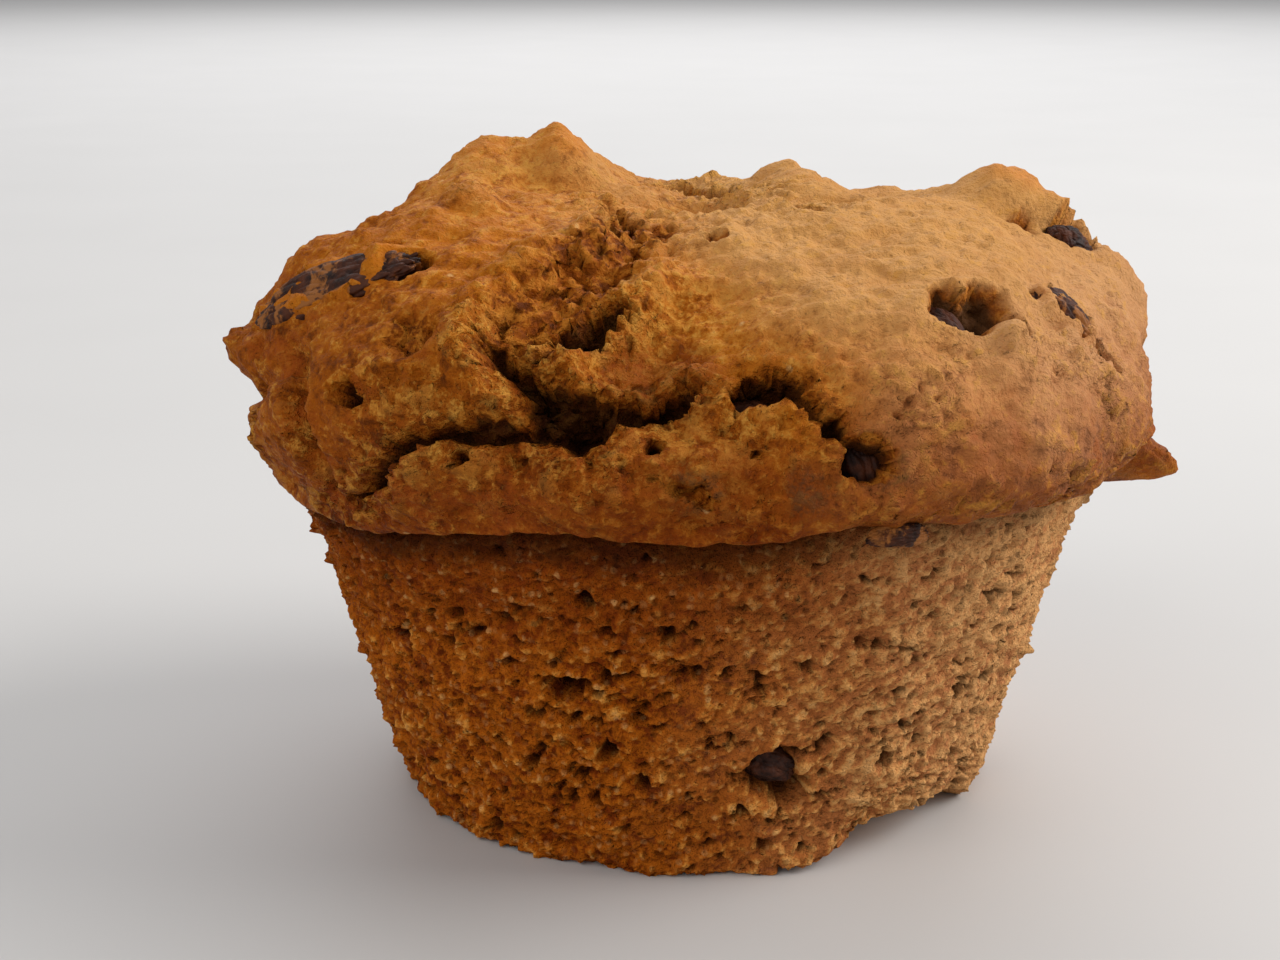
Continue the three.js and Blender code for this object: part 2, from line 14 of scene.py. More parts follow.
import bpy
import numpy as np
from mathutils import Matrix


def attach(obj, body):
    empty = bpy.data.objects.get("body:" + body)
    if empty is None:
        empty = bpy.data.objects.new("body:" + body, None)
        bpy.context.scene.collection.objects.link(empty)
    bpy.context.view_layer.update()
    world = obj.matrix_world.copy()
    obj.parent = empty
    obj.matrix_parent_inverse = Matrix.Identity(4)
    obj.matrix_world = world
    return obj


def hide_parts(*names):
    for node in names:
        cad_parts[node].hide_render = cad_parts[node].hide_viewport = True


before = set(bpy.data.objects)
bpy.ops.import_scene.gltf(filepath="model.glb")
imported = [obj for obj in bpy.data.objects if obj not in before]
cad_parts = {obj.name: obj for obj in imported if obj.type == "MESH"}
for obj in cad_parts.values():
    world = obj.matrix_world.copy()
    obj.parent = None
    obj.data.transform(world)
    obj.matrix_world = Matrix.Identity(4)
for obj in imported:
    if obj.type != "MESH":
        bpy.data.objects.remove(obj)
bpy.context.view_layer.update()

# %% [markdown]
# ## Sizes
#
# All lengths in this script are millimetres until a mesh is made, and MM turns them into
# metres. Places on the risen top are written as an azimuth and a height angle in degrees,
# seen from a hub inside the top. Azimuth 0 is the front and 90 is the right-hand side.
# These are the same numbers that the solid model is built from.

# %% Sizes
MM = 0.001
BASE_RADIUS = 26.3
RIM_RADIUS = 35.0
CUP_HEIGHT = 31.3
BASE_FILLET = 0.9
LIP_OVERHANG = 4.5
LIP_DEPTH = 5.2
DOME_TOP = 54.0
HUB = np.array([0.0, 0.0, 36.0])
LOBE_BLEND = 1.4  # the larger it is, the sharper are the creases between lobes
FRONT_BIAS = 0.38  # how far the columns shift towards the front, in radians

# Where the lip hangs low, where the foot has lost a chunk, and the flap of crumb beside
# that chunk. FLAP's rise is the share of CHIP's rise that the flap has at its near end.
SAG = dict(
    azimuth=-70, spread=36, drop=3.2, nub=81, nub_spread=5, nub_drop=4.2, waves=0.5, ragged=0.9,
)
CHIP = dict(start=28, end=62, rise=2.6, inner=20.5, height=8)
FLAP = dict(start=9, end=27, reach=0.5, height=3.5, rise=0.5)

# %% [markdown]
# ## Noise
#
# Baked batter is uneven at every size, from lobes as wide as a thumb down to crumbs.
# Two kinds of noise make that here. Both are sums over arrays of places, so one call
# shapes a whole surface. The lattice corners get their random numbers from a hash, and
# a hash gives the same muffin on every run.

# %% Noise
PRIMES = [np.uint32(number) for number in (374761393, 668265263, 2246822519, 3266489917)]
LUMP_STRENGTH = 1.2  # brings the blend of slopes to about -1 to 1
LAYER_SHIFT = 17.3  # keeps the lattices of two layers from lining up
SLOPES = np.array([
    [1, 1, 0], [-1, 1, 0], [1, -1, 0], [-1, -1, 0],
    [1, 0, 1], [-1, 0, 1], [1, 0, -1], [-1, 0, -1],
    [0, 1, 1], [0, -1, 1], [0, 1, -1], [0, -1, -1],
    [1, 1, 0], [-1, 1, 0], [0, -1, 1], [0, -1, -1],
], float)


def corner_hash(corner, seed):
    """Random number from 0 to 1 for each lattice corner: its three whole numbers times
    large primes, summed, then mixed twice by shifting and multiplying."""
    x, y, z = (corner[..., axis].astype(np.uint32) for axis in range(3))
    with np.errstate(over="ignore"):
        h = x * PRIMES[0] + y * PRIMES[1] + z * PRIMES[2] + np.uint32(seed) * PRIMES[3]
        h = (h ^ (h >> np.uint32(15))) * PRIMES[2]
        h = (h ^ (h >> np.uint32(13))) * PRIMES[3]
        h = h ^ (h >> np.uint32(16))
    return h / 2.0 ** 32


def smooth(value, low, high):
    """0 below low, 1 above high, and 3t² - 2t³ between them."""
    t = np.clip((value - low) / (high - low), 0, 1)
    return t * t * (3 - 2 * t)


def lumps(places, cell, seed):
    """Gradient noise, about -1 to 1: each corner of a lattice with the given cell has its
    own slope, and the eight slopes round a place are blended by 6t⁵ - 15t⁴ + 10t³."""
    spot = places / cell
    corner = np.floor(spot).astype(np.int64)
    part = spot - corner
    ease = part ** 3 * (part * (part * 6 - 15) + 10)
    total = np.zeros(places.shape[:-1])
    for k in range(8):
        step = np.array([k & 1, (k >> 1) & 1, (k >> 2) & 1])
        slope = SLOPES[(corner_hash(corner + step, seed) * len(SLOPES)).astype(int)]
        weight = np.prod(np.where(step, ease, 1 - ease), axis=-1)
        total += weight * np.sum(slope * (part - step), axis=-1)
    return total * LUMP_STRENGTH


def layered_lumps(places, cell, layers, seed, gain=0.5):
    """Sum of lumps at cell, cell/2, cell/4 and so on, each gain times as strong as the
    last, divided by the sum of the strengths."""
    strengths = gain ** np.arange(layers)
    total = sum(
        strength * lumps(places + LAYER_SHIFT * k, cell / 2 ** k, seed + k)
        for k, strength in enumerate(strengths)
    )
    return total / strengths.sum()


def bubbles(places, cell, seed):
    """Distance, in cells, from each place to the nearest of the points scattered one to a
    cell, and that point's own random number."""
    spot = places / cell
    corner = np.floor(spot).astype(np.int64)
    nearest = np.full(places.shape[:-1], 9.0)
    chance = np.zeros(places.shape[:-1])
    for k in range(3 ** 3):
        box = corner + np.array([k % 3, (k // 3) % 3, k // 9]) - 1
        centre = box + np.stack([corner_hash(box, seed + axis) for axis in range(3)], axis=-1)
        distance = np.linalg.norm(centre - spot, axis=-1)
        closer = distance < nearest
        nearest = np.where(closer, distance, nearest)
        chance = np.where(closer, corner_hash(box, seed + 3), chance)
    return nearest, chance


def crumble(places, cell, seed):
    """Three layered lumps, one for each direction, so steep torn walls get rough too."""
    return np.stack([layered_lumps(places, cell, 2, seed + 10 * axis) for axis in range(3)], axis=-1)


# %% [markdown]
# ## Lobes of the risen top
#
# Batter rises where it is hottest and weakest, so the top is a few overlapping swellings
# and not one dome. Each swelling is an ellipsoid that holds the hub. A ray from the hub
# leaves each ellipsoid at some distance, and a soft maximum of those distances joins the
# swellings with creases that have a small radius.

# %% Lobes
LOBES = {  # centre, half-axes
    "main right": ((10.5, -3.5, 34.5), (28.0, 33.5, 17.0)),
    "front left": ((-15.0, -6.0, 38.0), (23.0, 28.0, 14.0)),
    "back left": ((-10.0, 10.0, 38.0), (23.0, 25.0, 14.0)),
    "left lip": ((-11.0, 6.0, 33.5), (27.2, 26.0, 8.5)),
    "back middle": ((6.0, 13.0, 36.0), (25.0, 25.0, 14.5)),
    "back right": ((16.5, 4.0, 37.5), (23.0, 26.0, 13.5)),
    "front lip": ((0.0, -4.0, 35.0), (35.5, 33.0, 7.5)),
    "back lip": ((2.0, 6.0, 35.5), (34.0, 33.0, 7.5)),
}
PUSH_CENTRE = [0, 0, 31]
PUSH_RADII = [40, 38, 23]


def direction(azimuth, height):
    """Unit vector for an azimuth and a height angle in degrees."""
    a, e = np.radians(azimuth), np.radians(height)
    return np.stack([np.sin(a) * np.cos(e), -np.cos(a) * np.cos(e), np.sin(e)], axis=-1)


def lobe_reach(rays):
    """How far each ray runs before it leaves the lobes. For one ellipsoid that is the
    larger root of a quadratic, and the roots R are joined by log(sum(exp(kR))) / k."""
    roots = []
    for centre, radii in LOBES.values():
        offset = (HUB - centre) / radii
        scaled = rays / radii
        a = np.sum(scaled * scaled, axis=-1)
        b = np.sum(scaled * offset, axis=-1)
        c = np.sum(offset * offset) - 1
        roots.append((-b + np.sqrt(np.maximum(b * b - a * c, 0))) / a)
    roots = np.stack(roots)
    longest = roots.max(axis=0)
    return longest + np.log(np.exp(LOBE_BLEND * (roots - longest)).sum(axis=0)) / LOBE_BLEND


def on_top(azimuth, height):
    """Place on the plain lobes in a direction from the hub."""
    ray = direction(azimuth, height)
    return HUB + lobe_reach(ray) * ray


def push_direction(places):
    """Relief moves a place square to one big ellipsoid round the whole top. That is the
    distance from its centre along each axis over the square of its radius there."""
    normal = (places - PUSH_CENTRE) / np.square(PUSH_RADII)
    return normal / np.linalg.norm(normal, axis=-1, keepdims=True)


# %% [markdown]
# ## Swellings, torn edges, cracks and holes
#
# These are the marks by which this muffin is recognised: the deep rift between the left
# and right lobes, the pit where it turns, the split that runs round the front knob, the
# holes with raisins in them, and the browned tips. Each has a place, a size and a depth.
# They are where the solid model has them. Its coarser faces need the four finest cracks
# a little wider, and the two nubs at the edges are half a millimetre lower here, because
# the crumbly skin adds about as much to them.
#
# Hollows are dents whose skin stayed whole. The tints, which come last, are the spots
# that have a colour of their own, such as crumb stained by the juice of a raisin, and
# four darker spots low at the front, which are partly browning and partly painted shade.

# %% Marks on the top
BUMPS = {  # azimuth, height angle, height, radius, sharpness
    "back left crown": (-128, 46, 3.2, 10.5, 1.0),
    "back left brow": (-105, 36, 2.8, 7, 1.0),
    "back left knob": (-117, 53, 2.4, 4.6, 1.0),
    "back left step": (-110, 66, 0.8, 5.5, 1.0),
    "drop beside the crown": (-141, 57, -2.7, 5.6, 1.0),
    "back slope": (-163, 44, -1.5, 7.5, 1.0),
    "front left tip": (-60, 37, 1.8, 3.2, 1.4),
    "front left brow": (-64, 32, 0.9, 8, 1.0),
    "front left face": (-33, 6, 1.0, 9, 1.0),
    "left shoulder": (-85, 22, -1.0, 7, 1.0),
    "over the long raisin": (-75, 18.5, 1.3, 3.6, 1.0),
    "left nub": (-75, 5.2, 2.5, 2.9, 1.0),
    "left nub root": (-68, 6.5, 0.8, 3.2, 1.0),
    "below the left nub": (-72, 0.5, -1.4, 4, 1.0),
    "left belly": (-73, -7, 1.3, 6, 1.0),
    "middle tip": (147, 46, 0.7, 2.6, 1.4),
    "middle crown": (140, 46, 1.0, 7, 1.0),
    "dip before the right crown": (107, 41, -3.0, 6.5, 1.0),
    "right crown": (99, 26, 4.1, 5.4, 1.0),
    "right tip": (94.5, 19.5, 2.2, 3.6, 1.0),
    "right shoulder": (90, 13, 1.4, 8, 1.0),
    "right nub": (80, -9.8, 4.9, 3.1, 1.2),
    "right nub root": (74, -7, 1.4, 3.4, 1.0),
    "front knob": (5, 3, 1.2, 6.5, 0.7),
    "socket blob": (38.5, 12.3, 1.5, 1.8, 1.0),
    "main belly": (24, 12, 1.0, 12, 1.0),
}
RIDGES = {  # height, spread, route
    "main lip": (
        1.8, 1.8,
        [
            (-2, 10.2), (-6.5, 7.8), (-11, 6.2), (-13.5, 6.6), (-17.5, 11.6),
            (-17, 16.2), (-14, 19), (-9.9, 22.6), (-7, 28.5),
        ],
    ),
    "left bank": (
        1.6, 1.8,
        [(-27.5, 40), (-27, 33), (-30.5, 29), (-31, 19), (-30, 15), (-28, 11), (-24, 6)],
    ),
    "front band": (0.8, 3.0, [(-36, -5), (-26, -2), (-16, -1), (-8, -1)]),
    "crease under the left nub": (-2.0, 1.7, [(-86, 0.5), (-72, 0.8), (-62, 3.5), (-55, 8)]),
    "back lip": (0.9, 2.4, [(105, 56), (148, 42), (158, 27), (150, 10)]),
    "socket brow": (0.7, 1.6, [(31, 18), (36, 19.5), (43, 19), (48, 18.5)]),
}
CRACKS = {  # half width, depth, route
    "rift": (1.3, 4.4, [(-13, 21), (-16, 18), (-18, 15.3), (-19.5, 13.3), (-22, 12)]),
    "rift below": (1.2, 4.0, [(-28.5, 14.5), (-26, 12.8), (-23, 11), (-19.5, 9), (-16, 6.6), (-13, 4.2)]),
    "torn bank": (3.3, 1.2, [(-16.3, 49), (-21, 40), (-21.5, 30), (-22.5, 23), (-24, 18), (-25, 13)]),
    "star": (1.0, 2.0, [(-60, 60), (-34, 53), (-22, 43)]),
    "junction": (1.7, 4.6, [(-21, 9.5), (-17.8, 7.4), (-14.8, 5.4), (-11.8, 4.6)]),
    "under main": (0.9, 3.4, [(-13.5, 4.4), (-10.5, 4.8), (-7, 5.8), (-4, 7.2), (-1.5, 8.8)]),
    "left split": (
        0.9, 2.6,
        [(-14, 2.2), (-22.6, 4.2), (-28, 3.8), (-31.2, 3), (-34.4, 1.1), (-39, -3), (-46, -7), (-54, -10)],
    ),
    "knob edge": (0.6, 1.8, [(6, 9.5), (9, 9.5), (11.5, 8), (14, 5), (17, 2)]),
    "fold behind": (1.9, 3.0, [(-176, 46), (176, 56), (150, 66), (112, 73)]),
    "back split": (1.7, 4.2, [(178, 38), (168, 27), (160, 13), (172, 3)]),
    "back branch": (1.4, 2.8, [(168, 25), (190, 18), (212, 14), (225, 6)]),
}
HOLLOWS = {  # half width, depth, route: dents whose skin stayed whole
    "left fold": (1.3, 2.2, [(-56, 9.5), (-51, 8.5), (-48.5, 5), (-47.5, 0), (-48, -7)]),
    "middle hollow": (3.4, 3.0, [(-60, 74), (20, 80), (60, 70)]),
    "lobe valley": (2.6, 1.2, [(60, 66), (75, 50), (84, 40)]),
    "side crease": (1.4, 1.1, [(78, 4), (90, 3), (104, 4), (118, -2)]),
    "left back": (1.8, 2.4, [(-128, 24), (-118, 14), (-112, 6), (-104, -2)]),
}
FINE_CRACKS = {  # half width, depth, route: too narrow for the solid model
    "under knob": (0.6, 1.1, [(-6, -0.5), (-3.5, -1), (-2, -1.5), (2, -3.5)]),
    "small slit": (0.7, 1.4, [(48, 55), (55, 50)]),
    "socket slit": (0.6, 1.6, [(58, 11.5), (57.5, 9), (58, 6.5)]),
}
HOLES = {  # azimuth, height angle, radius, depth
    "centre": (7.6, 9.6, 2.0, 5.6),
    "centre right": (10, 10, 1.7, 5.4),
    "centre left": (5, 8.6, 1.4, 4.0),
    "comma": (17.6, 1.8, 2.0, 4.4),
    "comma top": (14.2, 5, 1.2, 3.4),
    "pit": (-15.5, 4.4, 2.2, 5.0),
    "wide pit": (-18.2, 6.2, 2.8, 2.6),
    "socket left": (34.5, 17, 2.4, 3.0),
    "socket middle": (36.5, 15.6, 1.9, 4.4),
    "socket wall": (40.5, 17, 2.4, 2.6),
    "socket right": (42, 14.4, 1.5, 3.8),
    "crown": (90, 18.3, 2.0, 1.2),
    "crown dimple": (88.5, 24.5, 1.3, 1.5),
    "left dent": (-41, 6.4, 1.2, 3.4),
    "left dimple": (-36.5, 13.5, 2.4, 0.8),
    "shoulder": (-46.5, 22.5, 1.8, 2.0),
}
PIN_HOLES = {  # azimuth, height angle, radius, depth: too small for the solid model
    "left pin": (-27.5, 1, 0.6, 2.0),
    "knob pin": (-6, 2.5, 0.6, 2.0),
    "knob pin right": (5.5, 2, 0.5, 1.6),
    "middle hole": (4.5, 40, 1.1, 1.4),
}

TINTS = {  # azimuth, height angle, radius, colour
    "knob": (-0.5, 2.7, 5.0, "toasted"),
    "knob left": (-3.5, 4.5, 3.6, "toasted"),
    "knob right": (4.5, 4.4, 3.2, "toasted"),
    "left belly": (-70, -6, 7.0, "toasted"),
    "back left brow": (-105, 38, 9.0, "toasted"),
    "main lobe": (-5, 20, 7.0, "toasted"),
    # These four spots are painted darker: partly browning, and partly painted shade on the low front.
    "main lobe's foot": (-4, 10, 4.4, "browned_and_shaded"),
    "main lobe's foot left": (-9, 10.5, 3.6, "browned_and_shaded"),
    "band middle": (-6, -4.5, 5.0, "browned_and_shaded"),
    "band middle right": (4, -5, 6.0, "browned_and_shaded"),
    "under the knob": (-1.2, -1.5, 1.9, "stained"),
    "under the knob right": (11, -1.2, 2.2, "stained"),
    "beside the comma": (19.3, 0.2, 1.8, "stained"),
    "side of the comma": (20.5, 4.0, 3.6, "juicy"),
    "under the socket": (31, 2, 3.4, "juicy"),
}


def route_distance(places, route):
    """Distance from each place to a chain of straight pieces, and how far along the chain
    its nearest point lies, from 0 to 1."""
    stops = np.array([on_top(*stop) for stop in route])
    spans = np.diff(stops, axis=0)
    lengths = np.linalg.norm(spans, axis=1)
    nearest = np.full(places.shape[:-1], 1e9)
    along = np.zeros(places.shape[:-1])
    run = 0.0
    for start, span, length in zip(stops, spans, lengths):
        share = np.clip((places - start) @ span / length ** 2, 0, 1)
        gap = np.linalg.norm(places - start - share[..., None] * span, axis=-1)
        closer = gap < nearest
        nearest = np.where(closer, gap, nearest)
        along = np.where(closer, (run + share * length) / lengths.sum(), along)
        run += length
    return nearest, along


def swellings(places):
    """Height that bumps and ridges add to two layers of wide noise. A bump is its height
    times (1 - x^(2/sharpness)) raised to 1.5, or to 1.2 where it is sharp, with x the
    distance over the radius. A ridge is its height times exp(-(distance/spread)²)."""
    rise = 1.3 * layered_lumps(places, 11, 2, 3) + 0.45 * layered_lumps(places, 4.5, 2, 23)
    for azimuth, height_angle, height, radius, sharpness in BUMPS.values():
        x = np.linalg.norm(places - on_top(azimuth, height_angle), axis=-1) / radius
        fall = np.maximum(0, 1 - x ** (2 / sharpness))
        rise += height * fall ** (1.2 if sharpness > 1 else 1.5)
    for height, spread, route in RIDGES.values():
        distance, _ = route_distance(places, route)
        rise += height * np.exp(-((distance / spread) ** 2))
    return rise


def openings(places):
    """Depth of the cracks, hollows and holes, a mask that is 1 inside cracks and a half
    inside holes, and one that fades from a crack's edge as exp(-(gap/2.4)²). The depth is
    the mark's own times 1 - smooth(distance/width), and tapers to a route's ends as the
    root of a sine. Noise in the distance keeps torn edges from being clean lines."""
    ragged = 1.5 * layered_lumps(places, 3, 3, 5, 0.6) + 0.4 * layered_lumps(places, 0.9, 2, 51)
    wander = lumps(places, 2.5, 33)
    depth = np.zeros(places.shape[:-1])
    inside = np.zeros(places.shape[:-1])
    beside = np.zeros(places.shape[:-1])
    for half_width, deep, route in [*CRACKS.values(), *FINE_CRACKS.values()]:
        distance, along = route_distance(places, route)
        taper = 0.45 + 0.55 * np.sqrt(np.sin(np.pi * np.clip(along, 0.02, 0.98)))
        x = (distance + ragged * min(1, half_width * 0.8)) / (half_width * taper)
        depth = np.maximum(depth, deep * taper * (1 - smooth(x, 0.45, 1.25)))
        inside = np.maximum(inside, 1 - smooth(x, 0.9, 1.3))
        gap = np.maximum(0, distance - half_width)
        beside = np.maximum(beside, min(1, deep / 2.5) * np.exp(-((gap / 2.4) ** 2)))
    for half_width, deep, route in HOLLOWS.values():
        distance, along = route_distance(places, route)
        taper = np.sqrt(np.sin(np.pi * np.clip(along, 0.02, 0.98)))
        x = (distance + 0.3 * ragged) / half_width
        depth = np.maximum(depth, deep * taper * (1 - smooth(x, 0, 1.4)))
    for azimuth, height_angle, radius, deep in [*HOLES.values(), *PIN_HOLES.values()]:
        distance = np.linalg.norm(places - on_top(azimuth, height_angle), axis=-1)
        x = (distance + 0.5 * wander) / radius
        depth = np.maximum(depth, deep * (1 - smooth(x, 0.5, 1.1)))
        inside = np.maximum(inside, 0.5 * (1 - smooth(x, 0.9, 1.2)))
    return depth, inside, beside


# %% [markdown]
# ## Raisins and where they sit
#
# A raisin is soft when it goes in and the batter sets round it. On the top it usually
# lies in a torn hollow, partly covered. Each raisin here has a place, three half-axes,
# a depth and a turn. The same table makes the raisin and clears the batter above it.
# Where the last value is None the raisin lies in one of the holes, which clears it.

# %% Raisin places
TOP_RAISINS = {  # azimuth, height angle, half-axes, sink, turn, share of it under batter
    "raisin_shoulder": (-57.5, 17.8, (7.6, 3.1, 2.1), 1.4, -36, 0.76),
    "raisin_centre": (5.8, 8.5, (3.0, 2.0, 1.8), 4.6, 8, None),
    "raisin_comma": (18, 1.4, (2.7, 1.7, 1.6), 3.3, 70, None),
    "raisin_socket": (33.8, 16.4, (2.5, 1.8, 1.8), 1.9, 60, None),
    "raisin_coated": (56, 14.2, (3.1, 2.5, 1.9), 1.1, 75, 0.88),
    "raisin_crown": (91, 18.8, (2.9, 2.2, 1.8), 0.4, 40, 0.05),
    "raisin_lip": (21.3, -7, (2.3, 0.9, 1.1), 1.1, 0, 0.6),
    "raisin_back_left": (-141, 17, (3.4, 2.2, 1.9), 0.8, 25, 0.3),
    "raisin_back": (178, 23, (3.1, 2.2, 1.9), 0.9, -50, 0.25),
    "raisin_back_right": (133, 9, (3.6, 2.1, 1.9), 0.8, 15, 0.35),
}
CUP_RAISINS = {  # azimuth, height, half-axes, sink, turn, radius of the hole
    "raisin_cup": (11.5, 9.6, (2.4, 1.6, 1.6), 2.1, 24, 2.4),
    "raisin_cup_back": (203, 15.5, (2.9, 1.9, 1.7), 0.8, -15, 2.0),
}


def raisin_axes(outward, turn):
    """Long, wide and thick directions of a raisin as rows: thickness points outward, and
    the long axis starts level and is turned about it."""
    level = np.cross([0, 0, 1], outward)
    level /= np.linalg.norm(level)
    upward = np.cross(outward, level)
    angle = math.radians(turn)
    long = level * math.cos(angle) - upward * math.sin(angle)
    return np.stack([long, np.cross(outward, long), outward])


def nests(places, surface):
    """How far the batter is cleared above each raisin on the top, and a mask of the
    batter that is left lying on one. Only the part over the raisin's own oval is cleared,
    down to a little under the raisin's middle."""
    clear = np.zeros(places.shape[:-1])
    cover = np.zeros(places.shape[:-1])
    patches = layered_lumps(places, 2.6, 2, 83)
    for azimuth, height_angle, half, sink, turn, covered in TOP_RAISINS.values():
        if covered is None:
            continue
        spot = on_top(azimuth, height_angle)
        outward = push_direction(spot)
        axes = raisin_axes(outward, turn)
        local = (surface - spot + sink * outward) @ axes.T
        oval = np.hypot(local[..., 0] / half[0], local[..., 1] / half[1])
        near = (oval < 1.6) & (np.abs(local[..., 2]) < 6)
        over = (1 - smooth(oval + 0.25 * patches, 0.85, 1.15)) * near
        left = smooth(patches + covered - 0.5, -0.12, 0.12)
        clear = np.maximum(clear, over * (1 - left) * np.maximum(0, local[..., 2] + 0.3 * half[2]))
        cover = np.maximum(cover, over * left)
    return clear, cover


# %% [markdown]
# ## Surfaces made of rings
#
# The outline of a plain muffin is turned round the middle, and every point of the result
# is then moved: first out to the lobes, then by the relief. The columns stand closer
# together at the front, where the detail is. The surface starts inside the cup, under the
# lip, so the top is a closed piece that is tucked into the cup. The cup and the raisins
# are made of rings as well, so they use the same helpers.

# %% Grid helpers
def straight(start, end, steps):
    """Points on a line, without its first one."""
    share = np.linspace(0, 1, steps + 1)[1:, None]
    return np.array(start) * (1 - share) + np.array(end) * share


def arc(centre, radii, start, end, steps):
    """Points on an ellipse between two angles in degrees, without the first one."""
    angle = np.radians(np.linspace(start, end, steps + 1)[1:, None])
    return np.array(centre) + np.array(radii) * np.hstack([np.cos(angle), np.sin(angle)])


def turned(outline, columns):
    """Places of an outline turned round the middle: azimuth = t - bias * sin(t)."""
    turn = np.arange(columns) * 2 * np.pi / columns
    azimuth = turn - FRONT_BIAS * np.sin(turn)
    radius, height = outline[:, 0, None], outline[:, 1, None]
    places = np.stack(
        [radius * np.sin(azimuth), -radius * np.cos(azimuth), height + 0 * azimuth],
        axis=-1,
    )
    return places, azimuth


def ring_faces(rings, columns):
    """Faces of a surface of rings between two end points: a fan, quads and a fan."""
    j = np.arange(columns)
    following = (j + 1) % columns
    low = 1 + np.arange(rings - 1)[:, None] * columns
    quads = np.stack([low + j, low + following, low + columns + following, low + columns + j], axis=-1)
    last = 1 + rings * columns
    first_fan = np.stack([0 * j, 1 + following, 1 + j], axis=-1)
    last_fan = np.stack([last - columns + j, last - columns + following, 0 * j + last], axis=-1)
    return quads.reshape(-1, 4), np.vstack([first_fan, last_fan])


def mesh_object(name, first, rings, last, masks=None):
    """Object made of rings of places in millimetres, with a float attribute per mask."""
    rows, columns = rings.shape[:2]
    points = np.vstack([first, rings.reshape(-1, 3), last]) * MM
    quads, fans = ring_faces(rows, columns)
    corners = np.concatenate([quads.ravel(), fans.ravel()]).astype(np.int32)
    sizes = np.concatenate([np.full(len(quads), 4), np.full(len(fans), 3)]).astype(np.int32)
    starts = np.concatenate([[0], np.cumsum(sizes)[:-1]]).astype(np.int32)
    mesh = bpy.data.meshes.new(name)
    mesh.vertices.add(len(points))
    mesh.vertices.foreach_set("co", points.ravel())
    mesh.loops.add(len(corners))
    mesh.loops.foreach_set("vertex_index", corners)
    mesh.polygons.add(len(sizes))
    mesh.polygons.foreach_set("loop_start", starts)
    for label, values in (masks or {}).items():
        padded = np.concatenate([[values[0, 0]], values.ravel(), [values[-1, 0]]])
        mesh.attributes.new(label, "FLOAT", "POINT").data.foreach_set("value", padded)
    mesh.update(calc_edges=True)
    mesh.validate()
    mesh.shade_smooth()
    thing = bpy.data.objects.new(name, mesh)
    bpy.context.scene.collection.objects.link(thing)
    print(name, "has", 2 * len(quads) + len(fans), "triangles")
    return thing


# %% [markdown]
# ## Risen top
#
# The top spread over the tin's rim before it set, so it has a lip that hangs lower in
# some places than in others. The masks that are made along with the shape say where it
# is torn and how deep, where the top is drier, and where light and shade are painted on:
# the right-hand side that the window lights, and the low band of the lip. The finishes
# use them, so colour and shape always agree.

# %% Risen top
COLUMNS = 440
WALL_TURN = math.degrees(math.atan2(RIM_RADIUS - BASE_RADIUS, CUP_HEIGHT))
LIP_RADIUS = RIM_RADIUS + LIP_OVERHANG
LIP_HEIGHT = CUP_HEIGHT - 0.1 + LIP_DEPTH
TUCK_HEIGHT = CUP_HEIGHT + 1.2
CRUSTY_TIPS = ("left nub", "right nub", "front left tip", "right tip")


def lip_sag(azimuth, height):
    """How far the lip's edge hangs below its plain height: one low stretch at the front
    left, a narrow one at the right nub and a few waves, fading out above and below the
    lip. A stretch lowers it by drop * exp(-(angle away / spread)²)."""
    away = (np.degrees(azimuth) - SAG["azimuth"] + 540) % 360 - 180
    beside = (np.degrees(azimuth) - SAG["nub"] + 540) % 360 - 180
    lowest = SAG["drop"] * np.exp(-((away / SAG["spread"]) ** 2))
    lowest = lowest + SAG["nub_drop"] * np.exp(-((beside / SAG["nub_spread"]) ** 2))
    wave = SAG["waves"] * np.sin(3 * azimuth + 0.6) * np.sin(5 * azimuth + 2.1)
    ring = 38 * np.stack([np.sin(azimuth), -np.cos(azimuth), 0 * azimuth], axis=-1)
    wave += SAG["ragged"] * layered_lumps(ring, 5, 3, 61, 0.6)
    return (lowest + wave) * smooth(height, 22, 31) * (1 - smooth(height, 36, 46))


def tints(places):
    """A mask for each colour of the tints: 1 - smooth((distance + noise)/radius) round each
    of its spots, so a spot has an edge that wanders."""
    masks = {name: np.zeros(places.shape[:-1]) for *_, name in TINTS.values()}
    wander = 1.6 * layered_lumps(places, 2.4, 3, 83, 0.7)
    for azimuth, height_angle, radius, name in TINTS.values():
        x = (np.linalg.norm(places - on_top(azimuth, height_angle), axis=-1) + wander) / radius
        masks[name] = np.maximum(masks[name], 1 - smooth(x, 0.5, 1.15))
    return masks


def crusty_tips(places):
    """Mask of the tips that stand proud: 1 - smooth(distance/radius) round each."""
    mask = np.zeros(places.shape[:-1])
    for azimuth, height_angle, _, radius, _ in (BUMPS[tip] for tip in CRUSTY_TIPS):
        x = np.linalg.norm(places - on_top(azimuth, height_angle), axis=-1) / radius
        mask = np.maximum(mask, 1 - smooth(x, 0.3, 1.1))
    return mask


def top_outline():
    """Outline of the plain top, from inside the cup round the lip and up the dome, and
    how much each of its points follows the lobes: 0 in the cup, 1 on the dome."""
    tucked = np.vstack([
        straight((4, TUCK_HEIGHT), (RIM_RADIUS - 3, TUCK_HEIGHT), 3),
        straight((RIM_RADIUS - 3, TUCK_HEIGHT), (RIM_RADIUS - 0.6, CUP_HEIGHT + 0.1), 4),
    ])
    lip = np.vstack([
        straight((RIM_RADIUS - 0.6, CUP_HEIGHT + 0.1), (RIM_RADIUS + 0.9, CUP_HEIGHT - 0.1), 6),
        arc((RIM_RADIUS + 0.9, LIP_HEIGHT), (LIP_OVERHANG - 0.9, LIP_DEPTH), -90, 0, 32),
    ])
    dome = arc((0, LIP_HEIGHT), (LIP_RADIUS, DOME_TOP - LIP_HEIGHT), 0, 89.6, 172)
    outline = np.vstack([tucked, lip, dome])
    share = smooth(np.arange(len(outline)), len(tucked), len(tucked) + len(lip))[:, None]
    return outline, share


